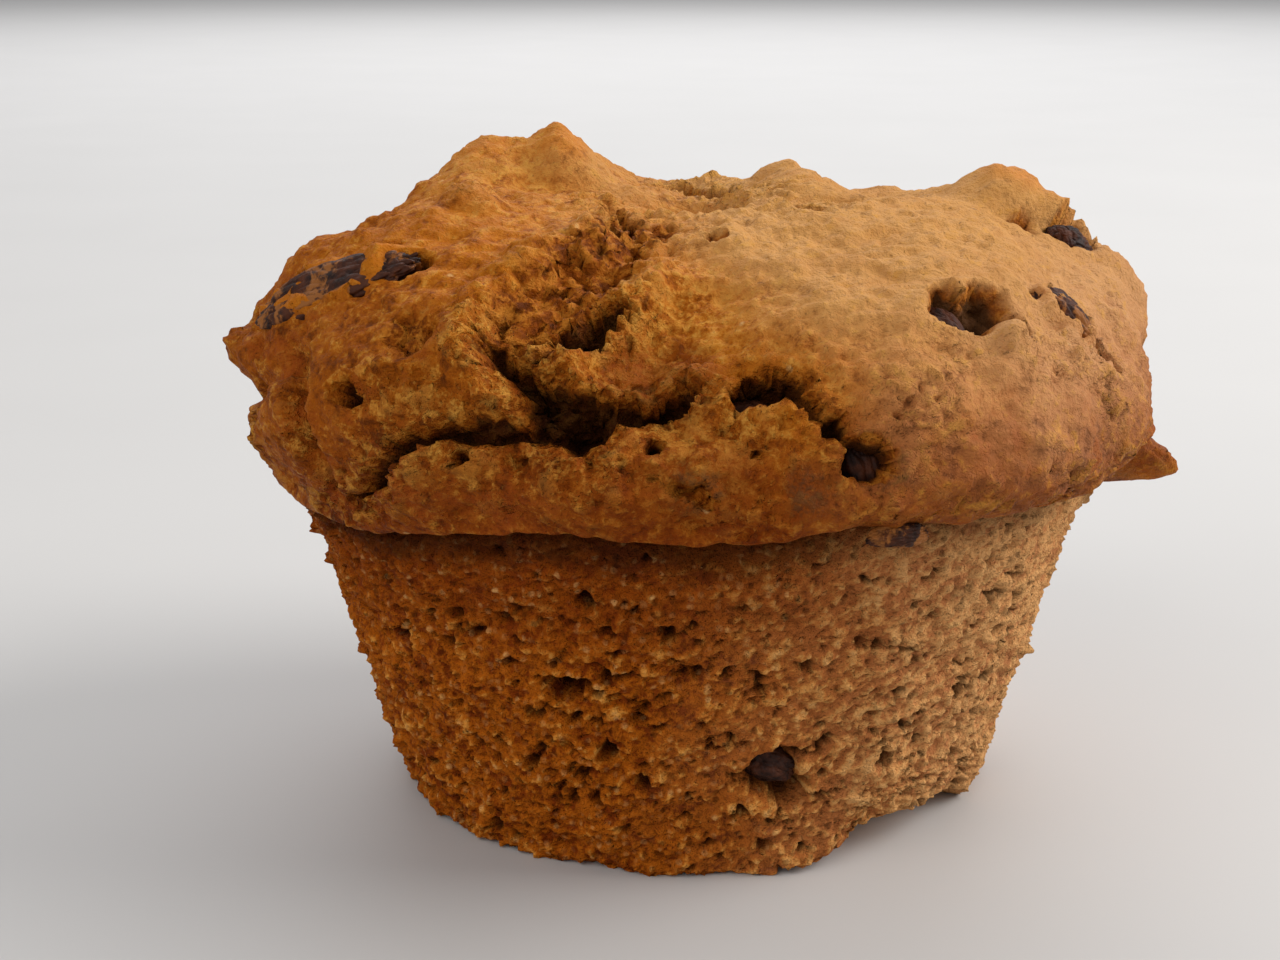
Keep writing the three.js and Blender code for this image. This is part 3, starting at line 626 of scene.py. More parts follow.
def risen_top():
    """Rings of the top and its masks. A place of the plain top goes out to the lobes along
    its ray from the hub, and then by its relief along the push direction. The relief is
    swellings - openings + batter over raisins - batter cleared from raisins + knobs - pits.
    Last, crumbs push it in all directions."""
    outline, share = top_outline()
    places, azimuth = turned(outline, COLUMNS)
    places[..., 2] -= lip_sag(azimuth, places[..., 2])

    rays = places - HUB
    length = np.linalg.norm(rays, axis=-1)
    rays /= length[..., None]
    places += (share * (lobe_reach(rays) - length))[..., None] * rays

    push = push_direction(places)
    rise = swellings(places)
    depth, inside, beside = openings(places)
    relief = rise - depth + inside * layered_lumps(places, 2.4, 3, 11, 0.6)
    clear, cover = nests(places, places + relief[..., None] * push)
    tinted = tints(places)
    tips = crusty_tips(places)
    torn = np.maximum(smooth(inside, 0, 0.5) * smooth(depth, 0.15, 0.7), smooth(clear, 0.3, 1.0))

    shown = smooth(share, 0.02, 0.6)
    relief += cover * (0.5 + 0.8 * lumps(places, 1.8, 91)) - clear
    places += (relief * shown)[..., None] * push
    patches = smooth(layered_lumps(places, 6.5, 3, 31), -0.1, 0.3) * (1 - smooth(places[..., 2], 38, 49))
    rough = np.clip(np.maximum(0.9 * beside, np.maximum(0.8 * patches, 0.5 * tips)), 0, 1)
    # Pits in torn and rough crust: pushed in here, and painted dark in the crust as painted shade.
    pits = smooth(layered_lumps(places, 1.6, 2, 75), 0.12, 0.5) * np.maximum(torn, 0.9 * rough)
    knobbly = 0.55 * layered_lumps(places, 2.9, 2, 67)
    knobbly = knobbly + (0.38 + 0.4 * rough) * layered_lumps(places, 1.1, 2, 71, 0.7)
    places += ((knobbly - 0.8 * pits) * shown)[..., None] * push
    across = places[..., 0] + 4 * lumps(places, 9, 19)
    # Paler on the tops, partly the crust's own drier colour and partly painted light, and paler towards
    # the right-hand side, which is painted light from the window.
    dry_and_lit_side = 0.75 * smooth(places[..., 2] + 0.1 * across, 37, 55) + 0.45 * smooth(across, -18, 16)
    # The low band of the lip, except at the far left, is painted a darker red-brown: partly its own
    # colour, partly painted shade.
    low = (1 - smooth(places[..., 2] + 2 * lumps(places, 5, 21), 30, 42)) * smooth(across, -36, -26)
    # The right-hand side below the crown, where the window's light is painted on as a pale tan.
    painted_window_light = smooth(across, 2, 30) * (1 - smooth(places[..., 2], 42, 51))
    shaken = (0.14 + np.maximum(0.6 * torn, 0.4 * rough)) * shown
    places += shaken[..., None] * crumble(places, 1.1, 93)
    masks = {
        "torn": torn,
        "deep": smooth(depth, 0.6, 2.3),
        "dry_and_lit_side": np.clip(dry_and_lit_side, 0, 1),
        "painted_window_light": painted_window_light,
        "low": low,
        "cover": cover,
        "rise": rise,
        "rough": rough,
        "pit": pits,
        "knobbly": knobbly,
        **tinted,
    }
    return places, masks


top_rings, top_masks = risen_top()
top = mesh_object("risen_top", [0, 0, TUCK_HEIGHT], top_rings, top_rings[-1].mean(axis=0), top_masks)
print("top of the muffin at", round(float(top_rings[..., 2].max()), 1), "mm")

# %% [markdown]
# ## Cup
#
# The side was baked against the tin and came out of it with its skin torn, so it shows
# the open crumb: grains about a millimetre wide with dark pores between them, some larger
# bubbles, and crumbs that stand off its outline. The lower right has lost a chunk.

# %% Cup
CUP_HOLES = {  # azimuth, height, radius, depth
    "left bubble": (-20.3, 17.2, 1.5, 3.0),
    "left bubble end": (-17.5, 17.6, 0.9, 2.2),
    "high slot": (-15.5, 25.2, 0.8, 1.6),
    "below the raisin": (14.2, 7.7, 1.5, 3.8),
    "middle": (-4.5, 22.8, 0.7, 1.8),
    "middle low": (-0.8, 19.1, 0.8, 1.6),
    "over the raisin": (8, 17.6, 0.7, 1.5),
    "low left": (-27, 9.8, 0.9, 1.5),
    "low mid left": (-14.5, 11.6, 0.9, 1.5),
    "foot left": (-16.5, 6.9, 0.7, 1.4),
    "small left": (-13.5, 18.6, 0.7, 1.4),
    "lower left": (-25, 14.5, 0.8, 1.2),
    "right": (14, 19.5, 0.7, 1.2),
    "low right": (31, 9.5, 0.9, 1.2),
    "low middle": (-9, 9.0, 0.9, 1.3),
    "far left": (-48, 19, 0.9, 1.3),
}
CUP_CRUMBS = {  # azimuth, height, height above the side, radius
    "left high": (-79, 23.5, 0.9, 1.0),
    "left middle": (-80, 20.5, 0.8, 0.9),
    "left low": (-74, 13, 0.7, 0.9),
    "left foot": (-66, 5.6, 1.0, 0.9),
    "right": (83, 20, 0.6, 0.9),
    "right low": (78, 12, 0.5, 1.0),
}
CUP_COLUMNS = 440
RAISIN_HOLE_DEPTH = 3.0
CUP_LEAN = 0.25  # how far down a push goes for each millimetre outward, as the side leans


def on_cup(azimuth, height):
    """Place on the plain side of the cup."""
    radius = BASE_RADIUS + (RIM_RADIUS - BASE_RADIUS) * height / CUP_HEIGHT
    a = math.radians(azimuth)
    return np.array([radius * math.sin(a), -radius * math.cos(a), height])


def cup_relief(places):
    """Outward push of the side, and masks of its pores, its holes and its proud grains. A
    pore is where a noise passes a limit, which makes it ragged, and the limit itself
    wanders, so some stretches are closed and others spongy. The push is the grains and
    crumbs less the pores, the bubbles and the named holes."""
    push = 0.9 * layered_lumps(places, 6, 3, 41)
    spongy = 0.16 * layered_lumps(places, 11, 2, 45) - 0.12 * smooth(places[..., 2], 20, 28)
    grain, _ = bubbles(places + 0.4 * crumble(places, 1.0, 47), 0.75, 300)
    field = layered_lumps(places * [1, 1, 1.5], 1.7, 3, 49, 0.6) + spongy
    pore = smooth(field, 0.22, 0.42)
    hollow, chance = bubbles(places + 0.9 * crumble(places, 1.5, 53), 3.3, 310)
    pit = (1 - smooth(hollow, 0.06, 0.24)) * (chance + spongy > 0.64)
    crumbs = layered_lumps(places, 1.0, 3, 57, 0.75) + 0.35 * layered_lumps(places, 2.4, 2, 65)
    push += 0.2 * (0.5 - grain) - 0.9 * pore - 1.5 * pit + 0.72 * crumbs
    ragged = layered_lumps(places, 1.2, 2, 59)
    hole = np.zeros(places.shape[:-1])
    for azimuth, height, radius, deep in CUP_HOLES.values():
        x = (np.linalg.norm(places - on_cup(azimuth, height), axis=-1) + 0.7 * ragged) / radius
        opening = 1 - smooth(x, 0.5, 1.1)
        push -= deep * opening
        hole = np.maximum(hole, opening)
    for azimuth, height, _, _, _, radius in CUP_RAISINS.values():
        x = (np.linalg.norm(places - on_cup(azimuth, height), axis=-1) + 0.7 * ragged) / radius
        opening = 1 - smooth(x, 0.4, 1.2)
        push -= RAISIN_HOLE_DEPTH * opening
        hole = np.maximum(hole, opening)
    for azimuth, height, high, radius in CUP_CRUMBS.values():
        x = np.linalg.norm(places - on_cup(azimuth, height), axis=-1) / radius
        push += high * (1 - smooth(x, 0.3, 1.0))
    return push, np.maximum(pore, pit), hole, smooth(crumbs - grain, -0.8, 0.3)


def cup():
    """Rings of the cup and its masks: the straight side, pushed by its relief and by the
    flap at the foot, and lifted where the chunk is missing. The lift is the chip's rise
    times a smooth step along the azimuth, one along the radius and one down the side. The
    cup goes a little way up into the risen top."""
    foot = straight((3, 0), (BASE_RADIUS - BASE_FILLET, 0), 18)
    centre = (BASE_RADIUS - BASE_FILLET, BASE_FILLET)
    fillet = arc(centre, (BASE_FILLET, BASE_FILLET), -90, -WALL_TURN, 12)
    brim = (RIM_RADIUS - 0.25, CUP_HEIGHT - 0.8)
    wall = straight((BASE_RADIUS, BASE_FILLET), brim, 158)
    tucked = straight(brim, (RIM_RADIUS - 1.5, CUP_HEIGHT + 2.0), 14)
    places, azimuth = turned(np.vstack([foot, fillet, wall, tucked]), CUP_COLUMNS)
    # Mask of the top of the side, just under the lip, where the shade in the crease is painted on.
    under = smooth(places[..., 2] + 0.8 * lumps(places, 3, 87), CUP_HEIGHT - 4.5, CUP_HEIGHT - 1)
    places[..., 2] -= lip_sag(azimuth, places[..., 2])

    radius = np.hypot(places[..., 0], places[..., 1])
    degrees = np.degrees(azimuth) % 360
    push, pore, hole, grain = cup_relief(places)
    beyond_foot = smooth(radius, 22.5, 25.5)
    push *= beyond_foot
    flap = smooth(degrees, FLAP["start"] - 3, FLAP["start"] + 3)
    flap = flap * (1 - smooth(degrees, FLAP["end"] - 2, FLAP["end"] + 2))
    low = 1 - smooth(places[..., 2], 0.5, FLAP["height"])
    push += FLAP["reach"] * flap * low * smooth(radius, 23.5, 25.5)
    outward = np.stack([np.sin(azimuth), -np.cos(azimuth), -CUP_LEAN + 0 * azimuth], axis=-1)
    moved = places + push[..., None] * outward
    moved += 0.12 * beyond_foot[..., None] * crumble(moved, 0.8, 61)
    begin = smooth(degrees, CHIP["start"] - 2, CHIP["start"] + 4)
    slope = smooth(degrees, FLAP["start"], CHIP["start"])
    share = FLAP["rise"] * slope + (1 - FLAP["rise"]) * begin
    chip = share * (1 - smooth(degrees, CHIP["end"] - 6, CHIP["end"] + 6))
    edge = smooth(radius, CHIP["inner"], BASE_RADIUS - 1)
    edge = edge * (1 - smooth(places[..., 2], 0, CHIP["height"]))
    moved[..., 2] += CHIP["rise"] * chip * edge
    moved[..., 2] = np.maximum(moved[..., 2], 0)
    # Paler towards the right-hand side: painted light from the window.
    dry_and_lit_side = smooth(moved[..., 0] + 5 * layered_lumps(moved, 8, 2, 63), -8, 26)
    return moved, {"pore": pore, "hole": hole, "grain": grain, "dry_and_lit_side": dry_and_lit_side, "under": under}


cup_rings, cup_masks = cup()
side = mesh_object("cup", [0, 0, 0], cup_rings, cup_rings[-1].mean(axis=0), cup_masks)

# %% [markdown]
# ## Raisins
#
# A dried grape folds along its length as it shrinks, so it is an ellipsoid with five
# folds from end to end, a few dents, and many small wrinkles over them. Each one is a
# piece of its own, as it is in the batter.

# %% Raisins
RAISIN_RINGS = 96
RAISIN_COLUMNS = 128
FOLDS = 5


def raisin_rings(half, seed):
    """Rings from one end to the other. Each place on a unit sphere is scaled by
    1 + fold + dent - wrinkles, then stretched to the three half-axes."""
    angle = np.pi * (1 - np.arange(1, RAISIN_RINGS) / RAISIN_RINGS)[:, None]
    turn = (2 * np.pi * np.arange(RAISIN_COLUMNS) / RAISIN_COLUMNS)[None, :]
    sphere = np.stack(
        [np.cos(angle) + 0 * turn, np.sin(angle) * np.cos(turn), np.sin(angle) * np.sin(turn)],
        axis=-1,
    )
    fold = 0.05 * np.sin(FOLDS * turn + seed) * np.sin(angle)
    dent = 0.16 * lumps(sphere + seed * 3.1, 0.9, seed)
    wrinkle = 0.10 * (1 - np.abs(lumps(sphere * [0.6, 1, 1] + seed, 0.33, seed + 20))) ** 4
    crease = 0.05 * (1 - np.abs(lumps(sphere * [0.5, 1, 1] + seed, 0.16, seed + 30))) ** 4
    scale = 1 + fold + dent + 0.05 - wrinkle - crease
    return sphere * scale[..., None] * half


def raisin(name, spot, outward, half, sink, turn, seed):
    """Raisin turned about its outward direction, set on its spot and sunk into it."""
    rings = raisin_rings(half, seed) @ raisin_axes(outward, turn) + spot - sink * outward
    thing = mesh_object("skin_of_" + name, rings[0].mean(axis=0), rings, rings[-1].mean(axis=0))
    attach(thing, "root")
    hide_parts(name)
    return thing


raisins = []
for name, (azimuth, height_angle, half, sink, turn, _) in TOP_RAISINS.items():
    spot = on_top(azimuth, height_angle)
    outward = push_direction(spot)
    raisins.append(raisin(name, spot, outward, half, sink, turn, len(raisins) + 1))
for name, (azimuth, height, half, sink, turn, _) in CUP_RAISINS.items():
    spot = on_cup(azimuth, height)
    outward = np.array([spot[0], spot[1], -CUP_LEAN * math.hypot(spot[0], spot[1])])
    outward /= np.linalg.norm(outward)
    raisins.append(raisin(name, spot, outward, half, sink, turn, len(raisins) + 1))
print(len(raisins), "raisins")

for piece in (top, side):
    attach(piece, "root")
    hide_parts("muffin")

# %% [markdown]
# ## Writing a finish as sums
#
# A node tree is easier to read as arithmetic. Field wraps one output socket, so that
# 1 - mask or noise * 0.3 + 0.5 adds the Math nodes for it. Finish holds one material:
# its node method adds any other node, and coats lays colours over each other, the way
# a surface is glazed.

# %% Field and Finish
class Field:
    """One value that varies over a surface."""

    def __init__(self, finish, socket):
        self.finish = finish
        self.socket = socket

    def maths(self, operation, first, second):
        """Math node of two values."""
        return self.finish.node("ShaderNodeMath", {"operation": operation}, {0: first, 1: second})

    def __add__(self, other):
        return self.maths("ADD", self, other)

    def __sub__(self, other):
        return self.maths("SUBTRACT", self, other)

    def __rsub__(self, other):
        return self.maths("SUBTRACT", other, self)

    def __mul__(self, other):
        return self.maths("MULTIPLY", self, other)

    __radd__ = __add__
    __rmul__ = __mul__

    def step(self, low, high):
        """0 at low, 1 at high, smooth between: low may be the larger."""
        return self.finish.node(
            "ShaderNodeMapRange",
            {"interpolation_type": "SMOOTHSTEP"},
            {"Value": self, "From Min": low, "From Max": high},
        )


class Finish:
    """One material with a single Principled shader."""

    def __init__(self, name):
        self.material = bpy.data.materials.new(name)
        self.material.use_nodes = True
        self.tree = self.material.node_tree
        self.shader = self.tree.nodes["Principled BSDF"]

    def node(self, kind, settings=None, inputs=None, output=0):
        """Adds a node, sets its properties, and links or fills its inputs."""
        made = self.tree.nodes.new(kind)
        for label, value in (settings or {}).items():
            setattr(made, label, value)
        for label, value in (inputs or {}).items():
            self.feed(made.inputs[label], value)
        return Field(self, made.outputs[output])

    def feed(self, socket, value):
        """Links a field to a socket, or sets the socket's own value."""
        if isinstance(value, Field):
            self.tree.links.new(value.socket, socket)
        else:
            socket.default_value = value

    def vector(self, operation, first, second):
        """Vector Math node of a vector and a number that is used on all three axes."""
        inputs = {0: first, 1: (second,) * 3}
        return self.node("ShaderNodeVectorMath", {"operation": operation}, inputs)

    def places(self):
        """Object coordinates in millimetres."""
        return self.vector("MULTIPLY", self.node("ShaderNodeTexCoord", output="Object"), 1 / MM)

    def height(self):
        """Height above the base in millimetres."""
        return self.node("ShaderNodeSeparateXYZ", inputs={0: self.places()}, output="Z")

    def noise(self, size, detail=3.0, roughness=0.55, distortion=0.0, shift=0.0):
        """Noise from 0 to 1 whose lumps are about size millimetres wide."""
        return self.node(
            "ShaderNodeTexNoise",
            {"noise_dimensions": "4D"},
            {
                "Vector": self.places(),
                "W": shift,
                "Scale": 1.0 / size,
                "Detail": detail,
                "Roughness": roughness,
                "Distortion": distortion,
            },
        )

    def specks(self, size, shift=0.0):
        """Distance to the nearest of the points scattered about size millimetres apart, and
        a random number that is each point's own."""
        made = self.tree.nodes.new("ShaderNodeTexVoronoi")
        self.feed(made.inputs["Vector"], self.vector("ADD", self.places(), shift))
        made.inputs["Scale"].default_value = 1.0 / size
        colour = Field(self, made.outputs["Color"])
        own = self.node("ShaderNodeSeparateColor", inputs={0: colour}, output="Red")
        return Field(self, made.outputs["Distance"]), own

    def mask(self, name):
        """A float attribute of the mesh."""
        return self.node("ShaderNodeAttribute", {"attribute_name": name}, output="Fac")

    def mix(self, first, second, share):
        """Colour between two colours."""
        made = self.tree.nodes.new("ShaderNodeMix")
        made.data_type = "RGBA"
        self.feed(made.inputs["Factor"], share)
        self.feed(made.inputs["A"], first)
        self.feed(made.inputs["B"], second)
        return Field(self, made.outputs["Result"])

    def coats(self, tone, *layers):
        """Lays each layer, a colour and the share of it that shows, over those before."""
        for colour, share in layers:
            tone = self.mix(tone, colour, share)
        return tone

    def bump(self, layers):
        """Bump nodes in a chain: each layer is a height field and its depth in millimetres."""
        normal = None
        for height, depth in layers:
            inputs = {"Height": height, "Distance": depth * MM, "Strength": 1.0}
            if normal is not None:
                inputs["Normal"] = normal
            normal = self.node("ShaderNodeBump", inputs=inputs)
        self.feed(self.shader.inputs["Normal"], normal)

    def set(self, values):
        """Feeds the shader's sockets by their names."""
        for label, value in values.items():
            self.feed(self.shader.inputs[label], value)


def shade(red, green, blue):
    """Linear colour for a colour as a screen shows it, 0 to 255. Each channel is divided
    by 12.92 where it is dark, and elsewhere it is ((channel + 0.055)/1.055)^2.4."""
    def linear(value):
        value /= 255
        return value / 12.92 if value <= 0.04045 else ((value + 0.055) / 1.055) ** 2.4
    return (linear(red), linear(green), linear(blue), 1.0)


# %% [markdown]
# ## Crust
#
# The crust browns most where it is thin or stands proud, and is palest on the broad tops of
# the lobes, which is partly its own colour and partly painted light. The right-hand side
# is painted paler where the window's light falls, and the low band of the lip darker and
# redder, partly its own colour and partly painted shade. Torn rims and single crumbs are
# crisp and yellow, and on the rims and knobs that yellow is partly a painted highlight.
# In the cracks the crumb is redder, and it is painted darker the deeper it lies, which is
# painted shade, as are the dark pits. Batter that ran over a raisin stays amber, and
# raisin juice stains the crumb round it.
#
# No single noise looks baked. Many thin coats do, each with its own size of mottling.

# %% Crust
TAN = shade(194, 140, 78)
GOLDEN = shade(190, 120, 40)
AMBER = shade(186, 110, 22)
BROWN = shade(152, 79, 9)
RED_BROWN = shade(120, 56, 6)
# The darkest colour: random dark crumb, and also painted shade deep in cracks, pits, pores, holes and
# under the lip.
DARK_CRUMB_AND_SHADE = shade(38, 14, 3)
ORANGE = shade(194, 112, 26)
PALE = shade(226, 190, 128)
# A pale tan that is painted window light.
PAINTED_LIGHT_TAN = shade(190, 140, 100)
YELLOW = shade(204, 146, 62)
RUDDY = shade(134, 56, 16)
# A dark red-brown: dark crust, and painted shade on the low front of the lip.
BAKED_AND_SHADED = shade(112, 42, 2)
JUICE = shade(138, 78, 54)
STAIN = shade(62, 36, 24)


def crust():
    """Skin of the top in coats, from red-brown up to the pale crumbs. The share of a coat is
    a sum of noises of several sizes put through a smooth step, times the mask of the
    stretch where it belongs. Torn crumb has coats of its own, which lie over the skin."""
    finish = Finish("crust")
    broad = finish.noise(8.0, 3.0, 0.6)
    patchy = finish.noise(2.6, 4.0, 0.65, 0.5, 3.0)
    small = finish.noise(1.1, 3.0, 0.65, 0.3, 13.0)
    grain = finish.noise(0.5, 3.0, 0.65, 0.0, 7.0)
    grit = finish.noise(0.36, 2.0, 0.6, 0.2, 21.0)
    near, own = finish.specks(3.1)
    torn, deep, rough, dry_and_lit_side, low = map(finish.mask, ("torn", "deep", "rough", "dry_and_lit_side", "low"))
    mottle = patchy * 0.36 + small * 0.38 + grain * 0.26
    crumbs = small * 0.6 + grain * 0.4
    fine_crumbs = small * 0.5 + grain * 0.5

    tone = finish.coats(
        RED_BROWN,
        (BROWN, (mottle + dry_and_lit_side * 0.15).step(0.38, 0.54)),
        (AMBER, (mottle + dry_and_lit_side * 0.16 + broad * 0.1).step(0.54, 0.70)),
        # The tops and the right-hand side turn tan. On the tops this is partly the crust's own colour and
        # partly painted light. On the right-hand side it is painted window light.
        (TAN, (dry_and_lit_side + mottle * 0.9).step(0.95, 1.45)),
        # Painted window light: a pool of pale tan on the right-hand side.
        (PAINTED_LIGHT_TAN, finish.mask("painted_window_light") * (mottle * 1.5 - 0.12)),
        # The low band is painted darker and redder: partly its own colour, partly painted shade.
        (BAKED_AND_SHADED, low * (mottle * 1.3 + 0.15)),
        (DARK_CRUMB_AND_SHADE, grain.step(0.54, 0.78) * (0.34 + rough * 0.2)),
        (YELLOW, crumbs.step(0.40, 0.28) * (0.4 - dry_and_lit_side * 0.2)),
        # Raised knobs on rough stretches are painted yellow: partly crisp crumb, partly a painted
        # highlight.
        (YELLOW, (finish.mask("knobbly") * 1.6 + grain * 0.5).step(0.3, 0.8) * rough * 0.5),
        (ORANGE, finish.mask("rise").step(2.2, 3.8) * 0.5),
        (YELLOW, finish.mask("toasted") * mottle.step(0.44, 0.60) * 0.6),
        # Torn rims are painted yellow: partly crisp crumb, partly a painted highlight where they catch the
        # light.
        (YELLOW, rough.step(0.5, 0.9) * fine_crumbs.step(0.46, 0.62) * 0.5),
        (DARK_CRUMB_AND_SHADE, (small * 0.6 + patchy * 0.4).step(0.46, 0.34) * (0.45 - dry_and_lit_side * 0.15)),
        (YELLOW, crumbs.step(0.52, 0.64) * 0.5),
        # Darker spots low at the front: partly browning, partly painted shade.
        (BAKED_AND_SHADED, finish.mask("browned_and_shaded") * (mottle * 1.2 - 0.1)),
        (JUICE, finish.mask("juicy") * mottle.step(0.40, 0.60) * 0.5),
        (YELLOW, (grit * 0.7 + small * 0.3).step(0.56, 0.68) * (0.16 + rough * 0.3)),
        (ORANGE, low * (patchy * 0.4 + small * 0.4 + grain * 0.2).step(0.42, 0.66) * 0.55),
        (DARK_CRUMB_AND_SHADE, (grit * 0.7 + patchy * 0.3).step(0.42, 0.32) * 0.4),
        (RUDDY, (broad * 0.4 + patchy * 0.6).step(0.48, 0.60) * (1 - dry_and_lit_side * 0.75) * 0.55),
        (PALE, near.step(0.13, 0.05) * own.step(0.80, 0.82) * 0.4),
        (STAIN, finish.mask("stained") * fine_crumbs.step(0.40, 0.58) * 0.7),
    )
    inner = finish.coats(
        RED_BROWN,
        (BROWN, crumbs.step(0.40, 0.56)),
        # Deeper in cracks and holes the golden crumb fades and the crumb is painted nearly black: painted
        # shade.
        (GOLDEN, small.step(0.46, 0.60) * (1 - deep) * 0.8),
        (DARK_CRUMB_AND_SHADE, deep.step(0.2, 1.0) * 0.95),
        (DARK_CRUMB_AND_SHADE, (small * 0.5 + patchy * 0.5).step(0.50, 0.38) * 0.5),
    )
    tone = finish.coats(
        tone,
        (inner, torn * 0.9),
        # The pits are painted dark: painted shade.
        (DARK_CRUMB_AND_SHADE, finish.mask("pit").step(0.25, 0.9) * 0.55),
        (AMBER, finish.mask("cover") * (0.6 - dry_and_lit_side * 0.5)),
    )
    finish.set({"Base Color": tone, "Roughness": 0.52 + patchy * 0.25, "Specular IOR Level": 0.06})
    fine = finish.noise(0.28, 2.0, 0.7, 0.0, 5.0)
    finish.bump([(small * (rough * 0.8 + 0.6), 0.6), (grain * (rough * 0.6 + 0.7), 0.34), (fine, 0.15)])
    return finish.material


top.data.materials.append(crust())

# %% [markdown]
# ## Crumb
#
# The side shows crumb that touched the tin. Grains that stand proud are painted lighter,
# a painted highlight, and the pores between them are painted nearly black, which is
# painted shade. The whole varies from red-brown to golden, with painted window light on
# the right and painted shade just under the lip.

# %% Crumb
CRUMB_DARK = shade(122, 50, 6)
CRUMB_RUDDY = shade(174, 90, 15)
CRUMB_GOLDEN = shade(226, 150, 62)
CRUMB_PALE = shade(234, 180, 112)


def crumb():
    """Side of the cup in coats, from its darkest crumb to its palest grains, with painted
    window light on the right, then the painted shade under the lip, and last the pores and
    holes, painted nearly black as shade."""
    finish = Finish("crumb")
    broad = finish.noise(8.0, 3.0, 0.6, 0.3, 1.0)
    patchy = finish.noise(2.2, 4.0, 0.65, 0.3, 4.0)
    small = finish.noise(0.9, 3.0, 0.7, 0.3, 14.0)
    grain = finish.noise(0.45, 3.0, 0.7, 0.0, 9.0)
    near, own = finish.specks(0.7, 3.0)
    speck = near.step(0.55, 0.25)
    raised = finish.mask("grain")
    # Paler towards the right-hand side: painted window light.
    dry_and_lit_side = finish.mask("dry_and_lit_side")
    mottle = small * 0.36 + grain * 0.24 + patchy * 0.40 + dry_and_lit_side * 0.17

    tone = finish.coats(
        CRUMB_DARK,
        # Grains that stand proud are painted lighter: a painted highlight.
        (CRUMB_RUDDY, (mottle + raised * 0.15).step(0.44, 0.56)),
        (CRUMB_GOLDEN, (mottle + raised * 0.22 - broad * 0.15).step(0.52, 0.70)),
        (CRUMB_PALE, (mottle + raised * 0.2 - broad * 0.2 + dry_and_lit_side * 0.12).step(0.60, 0.82) * 0.7),
        # Painted window light: the right-hand side of the cup is painted pale tan.
        (PAINTED_LIGHT_TAN, dry_and_lit_side * 0.5),
        # The upper side, just below the lip, is painted darker: painted shade under the lip, less on the
        # right-hand side.
        (CRUMB_DARK, (finish.height() + broad * 6).step(20, 28) * (1 - dry_and_lit_side) * 0.6),
        (CRUMB_PALE, own.step(0.60, 0.95) * speck * (raised * 0.6 + 0.1)),
        (DARK_CRUMB_AND_SHADE, own.step(0.35, 0.05) * speck * 0.5),
        (DARK_CRUMB_AND_SHADE, grain.step(0.54, 0.76) * 0.4),
        # A dark band right under the lip: painted shade in the crease.
        (DARK_CRUMB_AND_SHADE, finish.mask("under") * (0.75 - dry_and_lit_side * 0.35)),
        # Pores and holes are painted nearly black: painted shade inside them.
        (DARK_CRUMB_AND_SHADE, finish.mask("pore") * 0.9),
        (DARK_CRUMB_AND_SHADE, finish.mask("hole") * 0.9),
    )
    finish.set({"Base Color": tone, "Roughness": 0.72 + patchy * 0.2, "Specular IOR Level": 0.05})
    fine = finish.noise(0.25, 2.0, 0.7, 0.0, 6.0)
    finish.bump([(small, 0.6), (grain, 0.4), (fine, 0.15)])
    return finish.material


side.data.materials.append(crumb())

# %% [markdown]
# ## Raisin skin
#
# The skin is dark purple-brown with a dull shine, and it carries a faint grey bloom.
# Three of the raisins at the front came up under the batter, so more of their skin is
# hidden by a baked film.

# %% Raisin skin
SKIN_DARK = shade(28, 12, 8)
SKIN_BROWN = shade(80, 40, 20)
SKIN_BLOOM = shade(88, 64, 54)
BATTER_FILM = shade(150, 92, 40)
FILMED = ("skin_of_raisin_lip", "skin_of_raisin_shoulder", "skin_of_raisin_coated")


def raisin_skin(name, batter):
    """Skin that a thin film of baked batter covers where a noise plus batter passes a
    limit, so a larger batter means a larger share under the film."""
    finish = Finish(name)
    patchy = finish.noise(1.4, 3.0, 0.6, 0.2, 2.0)
    fine = finish.noise(0.35, 3.0, 0.6, 0.0, 8.0)
    film = finish.noise(2.0, 4.0, 0.65, 0.6, 11.0)
    tone = finish.coats(
        SKIN_DARK,
        (SKIN_BROWN, patchy.step(0.35, 0.7)),
        (SKIN_BLOOM, fine.step(0.5, 0.75) * 0.2),
        (BATTER_FILM, (film + (batter - 0.5)).step(0.47, 0.56) * 0.85),
    )
    finish.set({"Base Color": tone, "Roughness": 0.45 + patchy * 0.25, "Specular IOR Level": 0.16})
    finish.bump([(fine, 0.12)])
    return finish.material


skin = raisin_skin("raisin_skin", 0.3)
filmed = raisin_skin("filmed_raisin_skin", 0.49)
for piece in raisins:
    piece.data.materials.append(filmed if piece.name in FILMED else skin)

# %% [markdown]
# ## Studio
#
# A plain pale floor, a pale room, and one wide soft light high on the right and a little
# behind, like the window that lit the photograph. A weak one at the front left keeps the
# side that faces the camera in soft shade, and one far behind lights the floor there.

# %% Floor and lights
WARM_WHITE = (1.0, 0.98, 0.95)
COOL_WHITE = (0.97, 0.98, 1.0)


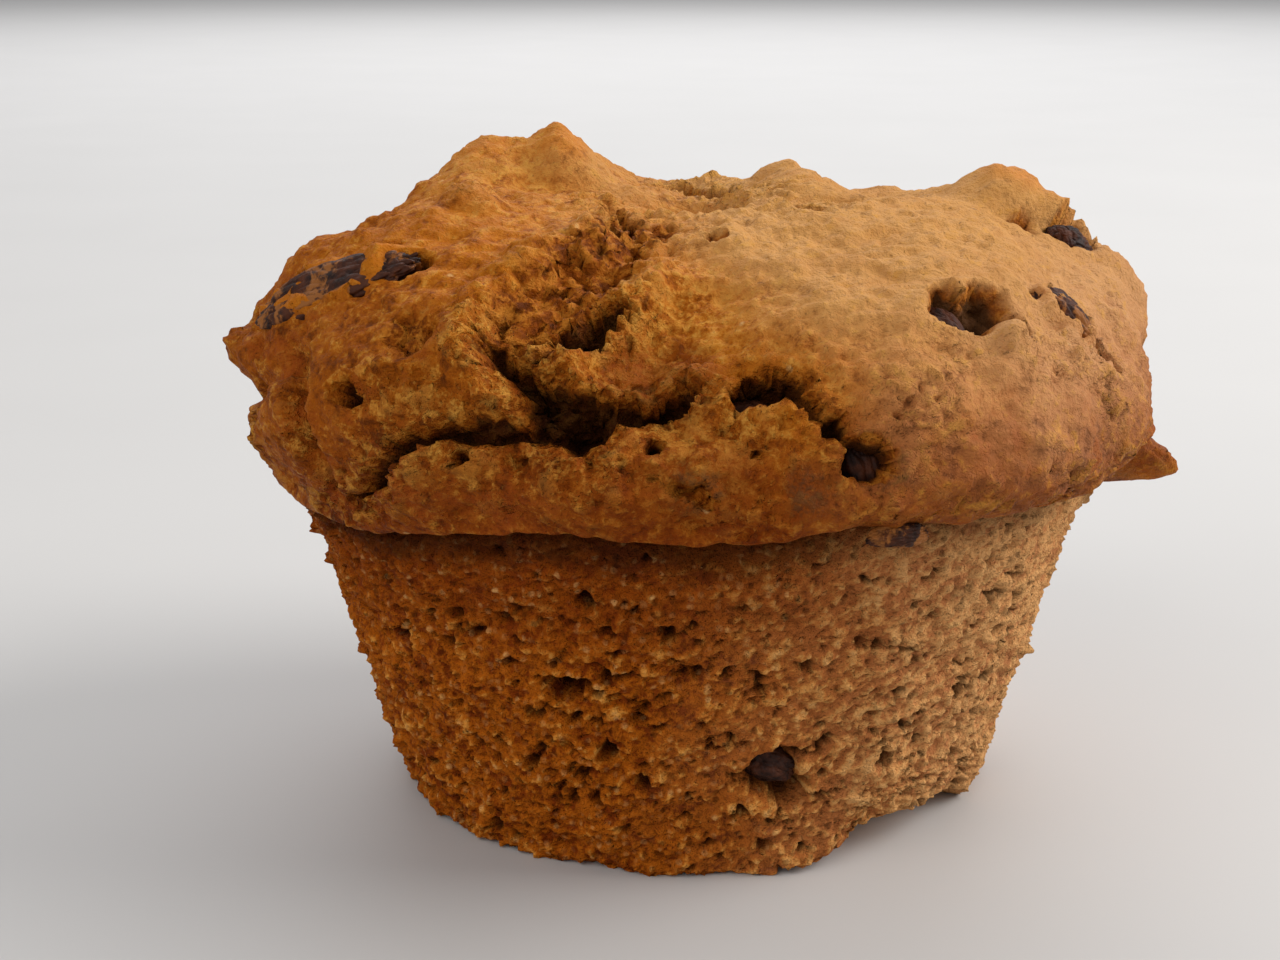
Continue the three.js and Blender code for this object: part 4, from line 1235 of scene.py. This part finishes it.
def floor():
    """Square sheet at the height of the muffin's base, four metres out on each side."""
    mesh = bpy.data.meshes.new("floor")
    reach = 4.0
    corners = [(-reach, -reach, 0), (reach, -reach, 0), (reach, reach, 0), (-reach, reach, 0)]
    mesh.from_pydata(corners, [], [(0, 1, 2, 3)])
    plane = bpy.data.objects.new("floor", mesh)
    bpy.context.scene.collection.objects.link(plane)
    finish = Finish("floor")
    faint = finish.noise(60.0, 2.0)
    pale = finish.mix(shade(190, 188, 186), shade(196, 194, 192), faint)
    finish.set({"Base Color": pale, "Roughness": 0.6 + faint * 0.05})
    mesh.materials.append(finish.material)


def soft_light(name, place, target, size, power, colour):
    """Square area light that looks at a target, in metres. It tilts from straight down by
    the angle whose cosine is -z of its aim, and turns to the aim's azimuth."""
    data = bpy.data.lights.new(name, "AREA")
    data.size = size
    data.energy = power
    data.color = colour
    light = bpy.data.objects.new(name, data)
    light.location = place
    aim = np.array(target) - np.array(place)
    light.rotation_euler = (
        math.acos(-aim[2] / np.linalg.norm(aim)),
        0,
        math.atan2(aim[1], aim[0]) - math.pi / 2,
    )
    bpy.context.scene.collection.objects.link(light)


floor()
soft_light("window", (0.68, 0.04, 0.46), (0, 0, 0.03), 0.55, 6.3, WARM_WHITE)
soft_light("room", (-0.5, -0.5, 0.5), (0, 0, 0.03), 0.8, 3.0, WARM_WHITE)
soft_light("far_wall", (0.1, 1.3, 0.9), (0.1, 1.31, 0), 1.4, 17.0, COOL_WHITE)

room = bpy.data.worlds.new("room")
room.use_nodes = True
backdrop = room.node_tree.nodes["Background"]
backdrop.inputs["Color"].default_value = (*COOL_WHITE, 1.0)
backdrop.inputs["Strength"].default_value = 0.44
bpy.context.scene.world = room
bpy.context.scene.view_settings.view_transform = "Standard"

# %% [markdown]
# ## Camera
#
# The camera's place was worked out by fitting the cup's rim and base to the outline in
# the photograph: close, a little left of the middle, looking 15 degrees down.

# %% Camera
SENSOR = 36.0  # millimetres, as is the lens
LENS = 56.25
CAMERA_PLACE = (-0.004716, -0.17284, 0.07237)
CAMERA_DOWN = 0.2626  # radians

data = bpy.data.cameras.new("camera")
data.sensor_width = SENSOR
data.lens = LENS
data.clip_start = 0.01
camera = bpy.data.objects.new("camera", data)
camera.location = CAMERA_PLACE
camera.rotation_euler = (math.pi / 2 - CAMERA_DOWN, 0, 0)
bpy.context.scene.collection.objects.link(camera)
bpy.context.scene.camera = camera
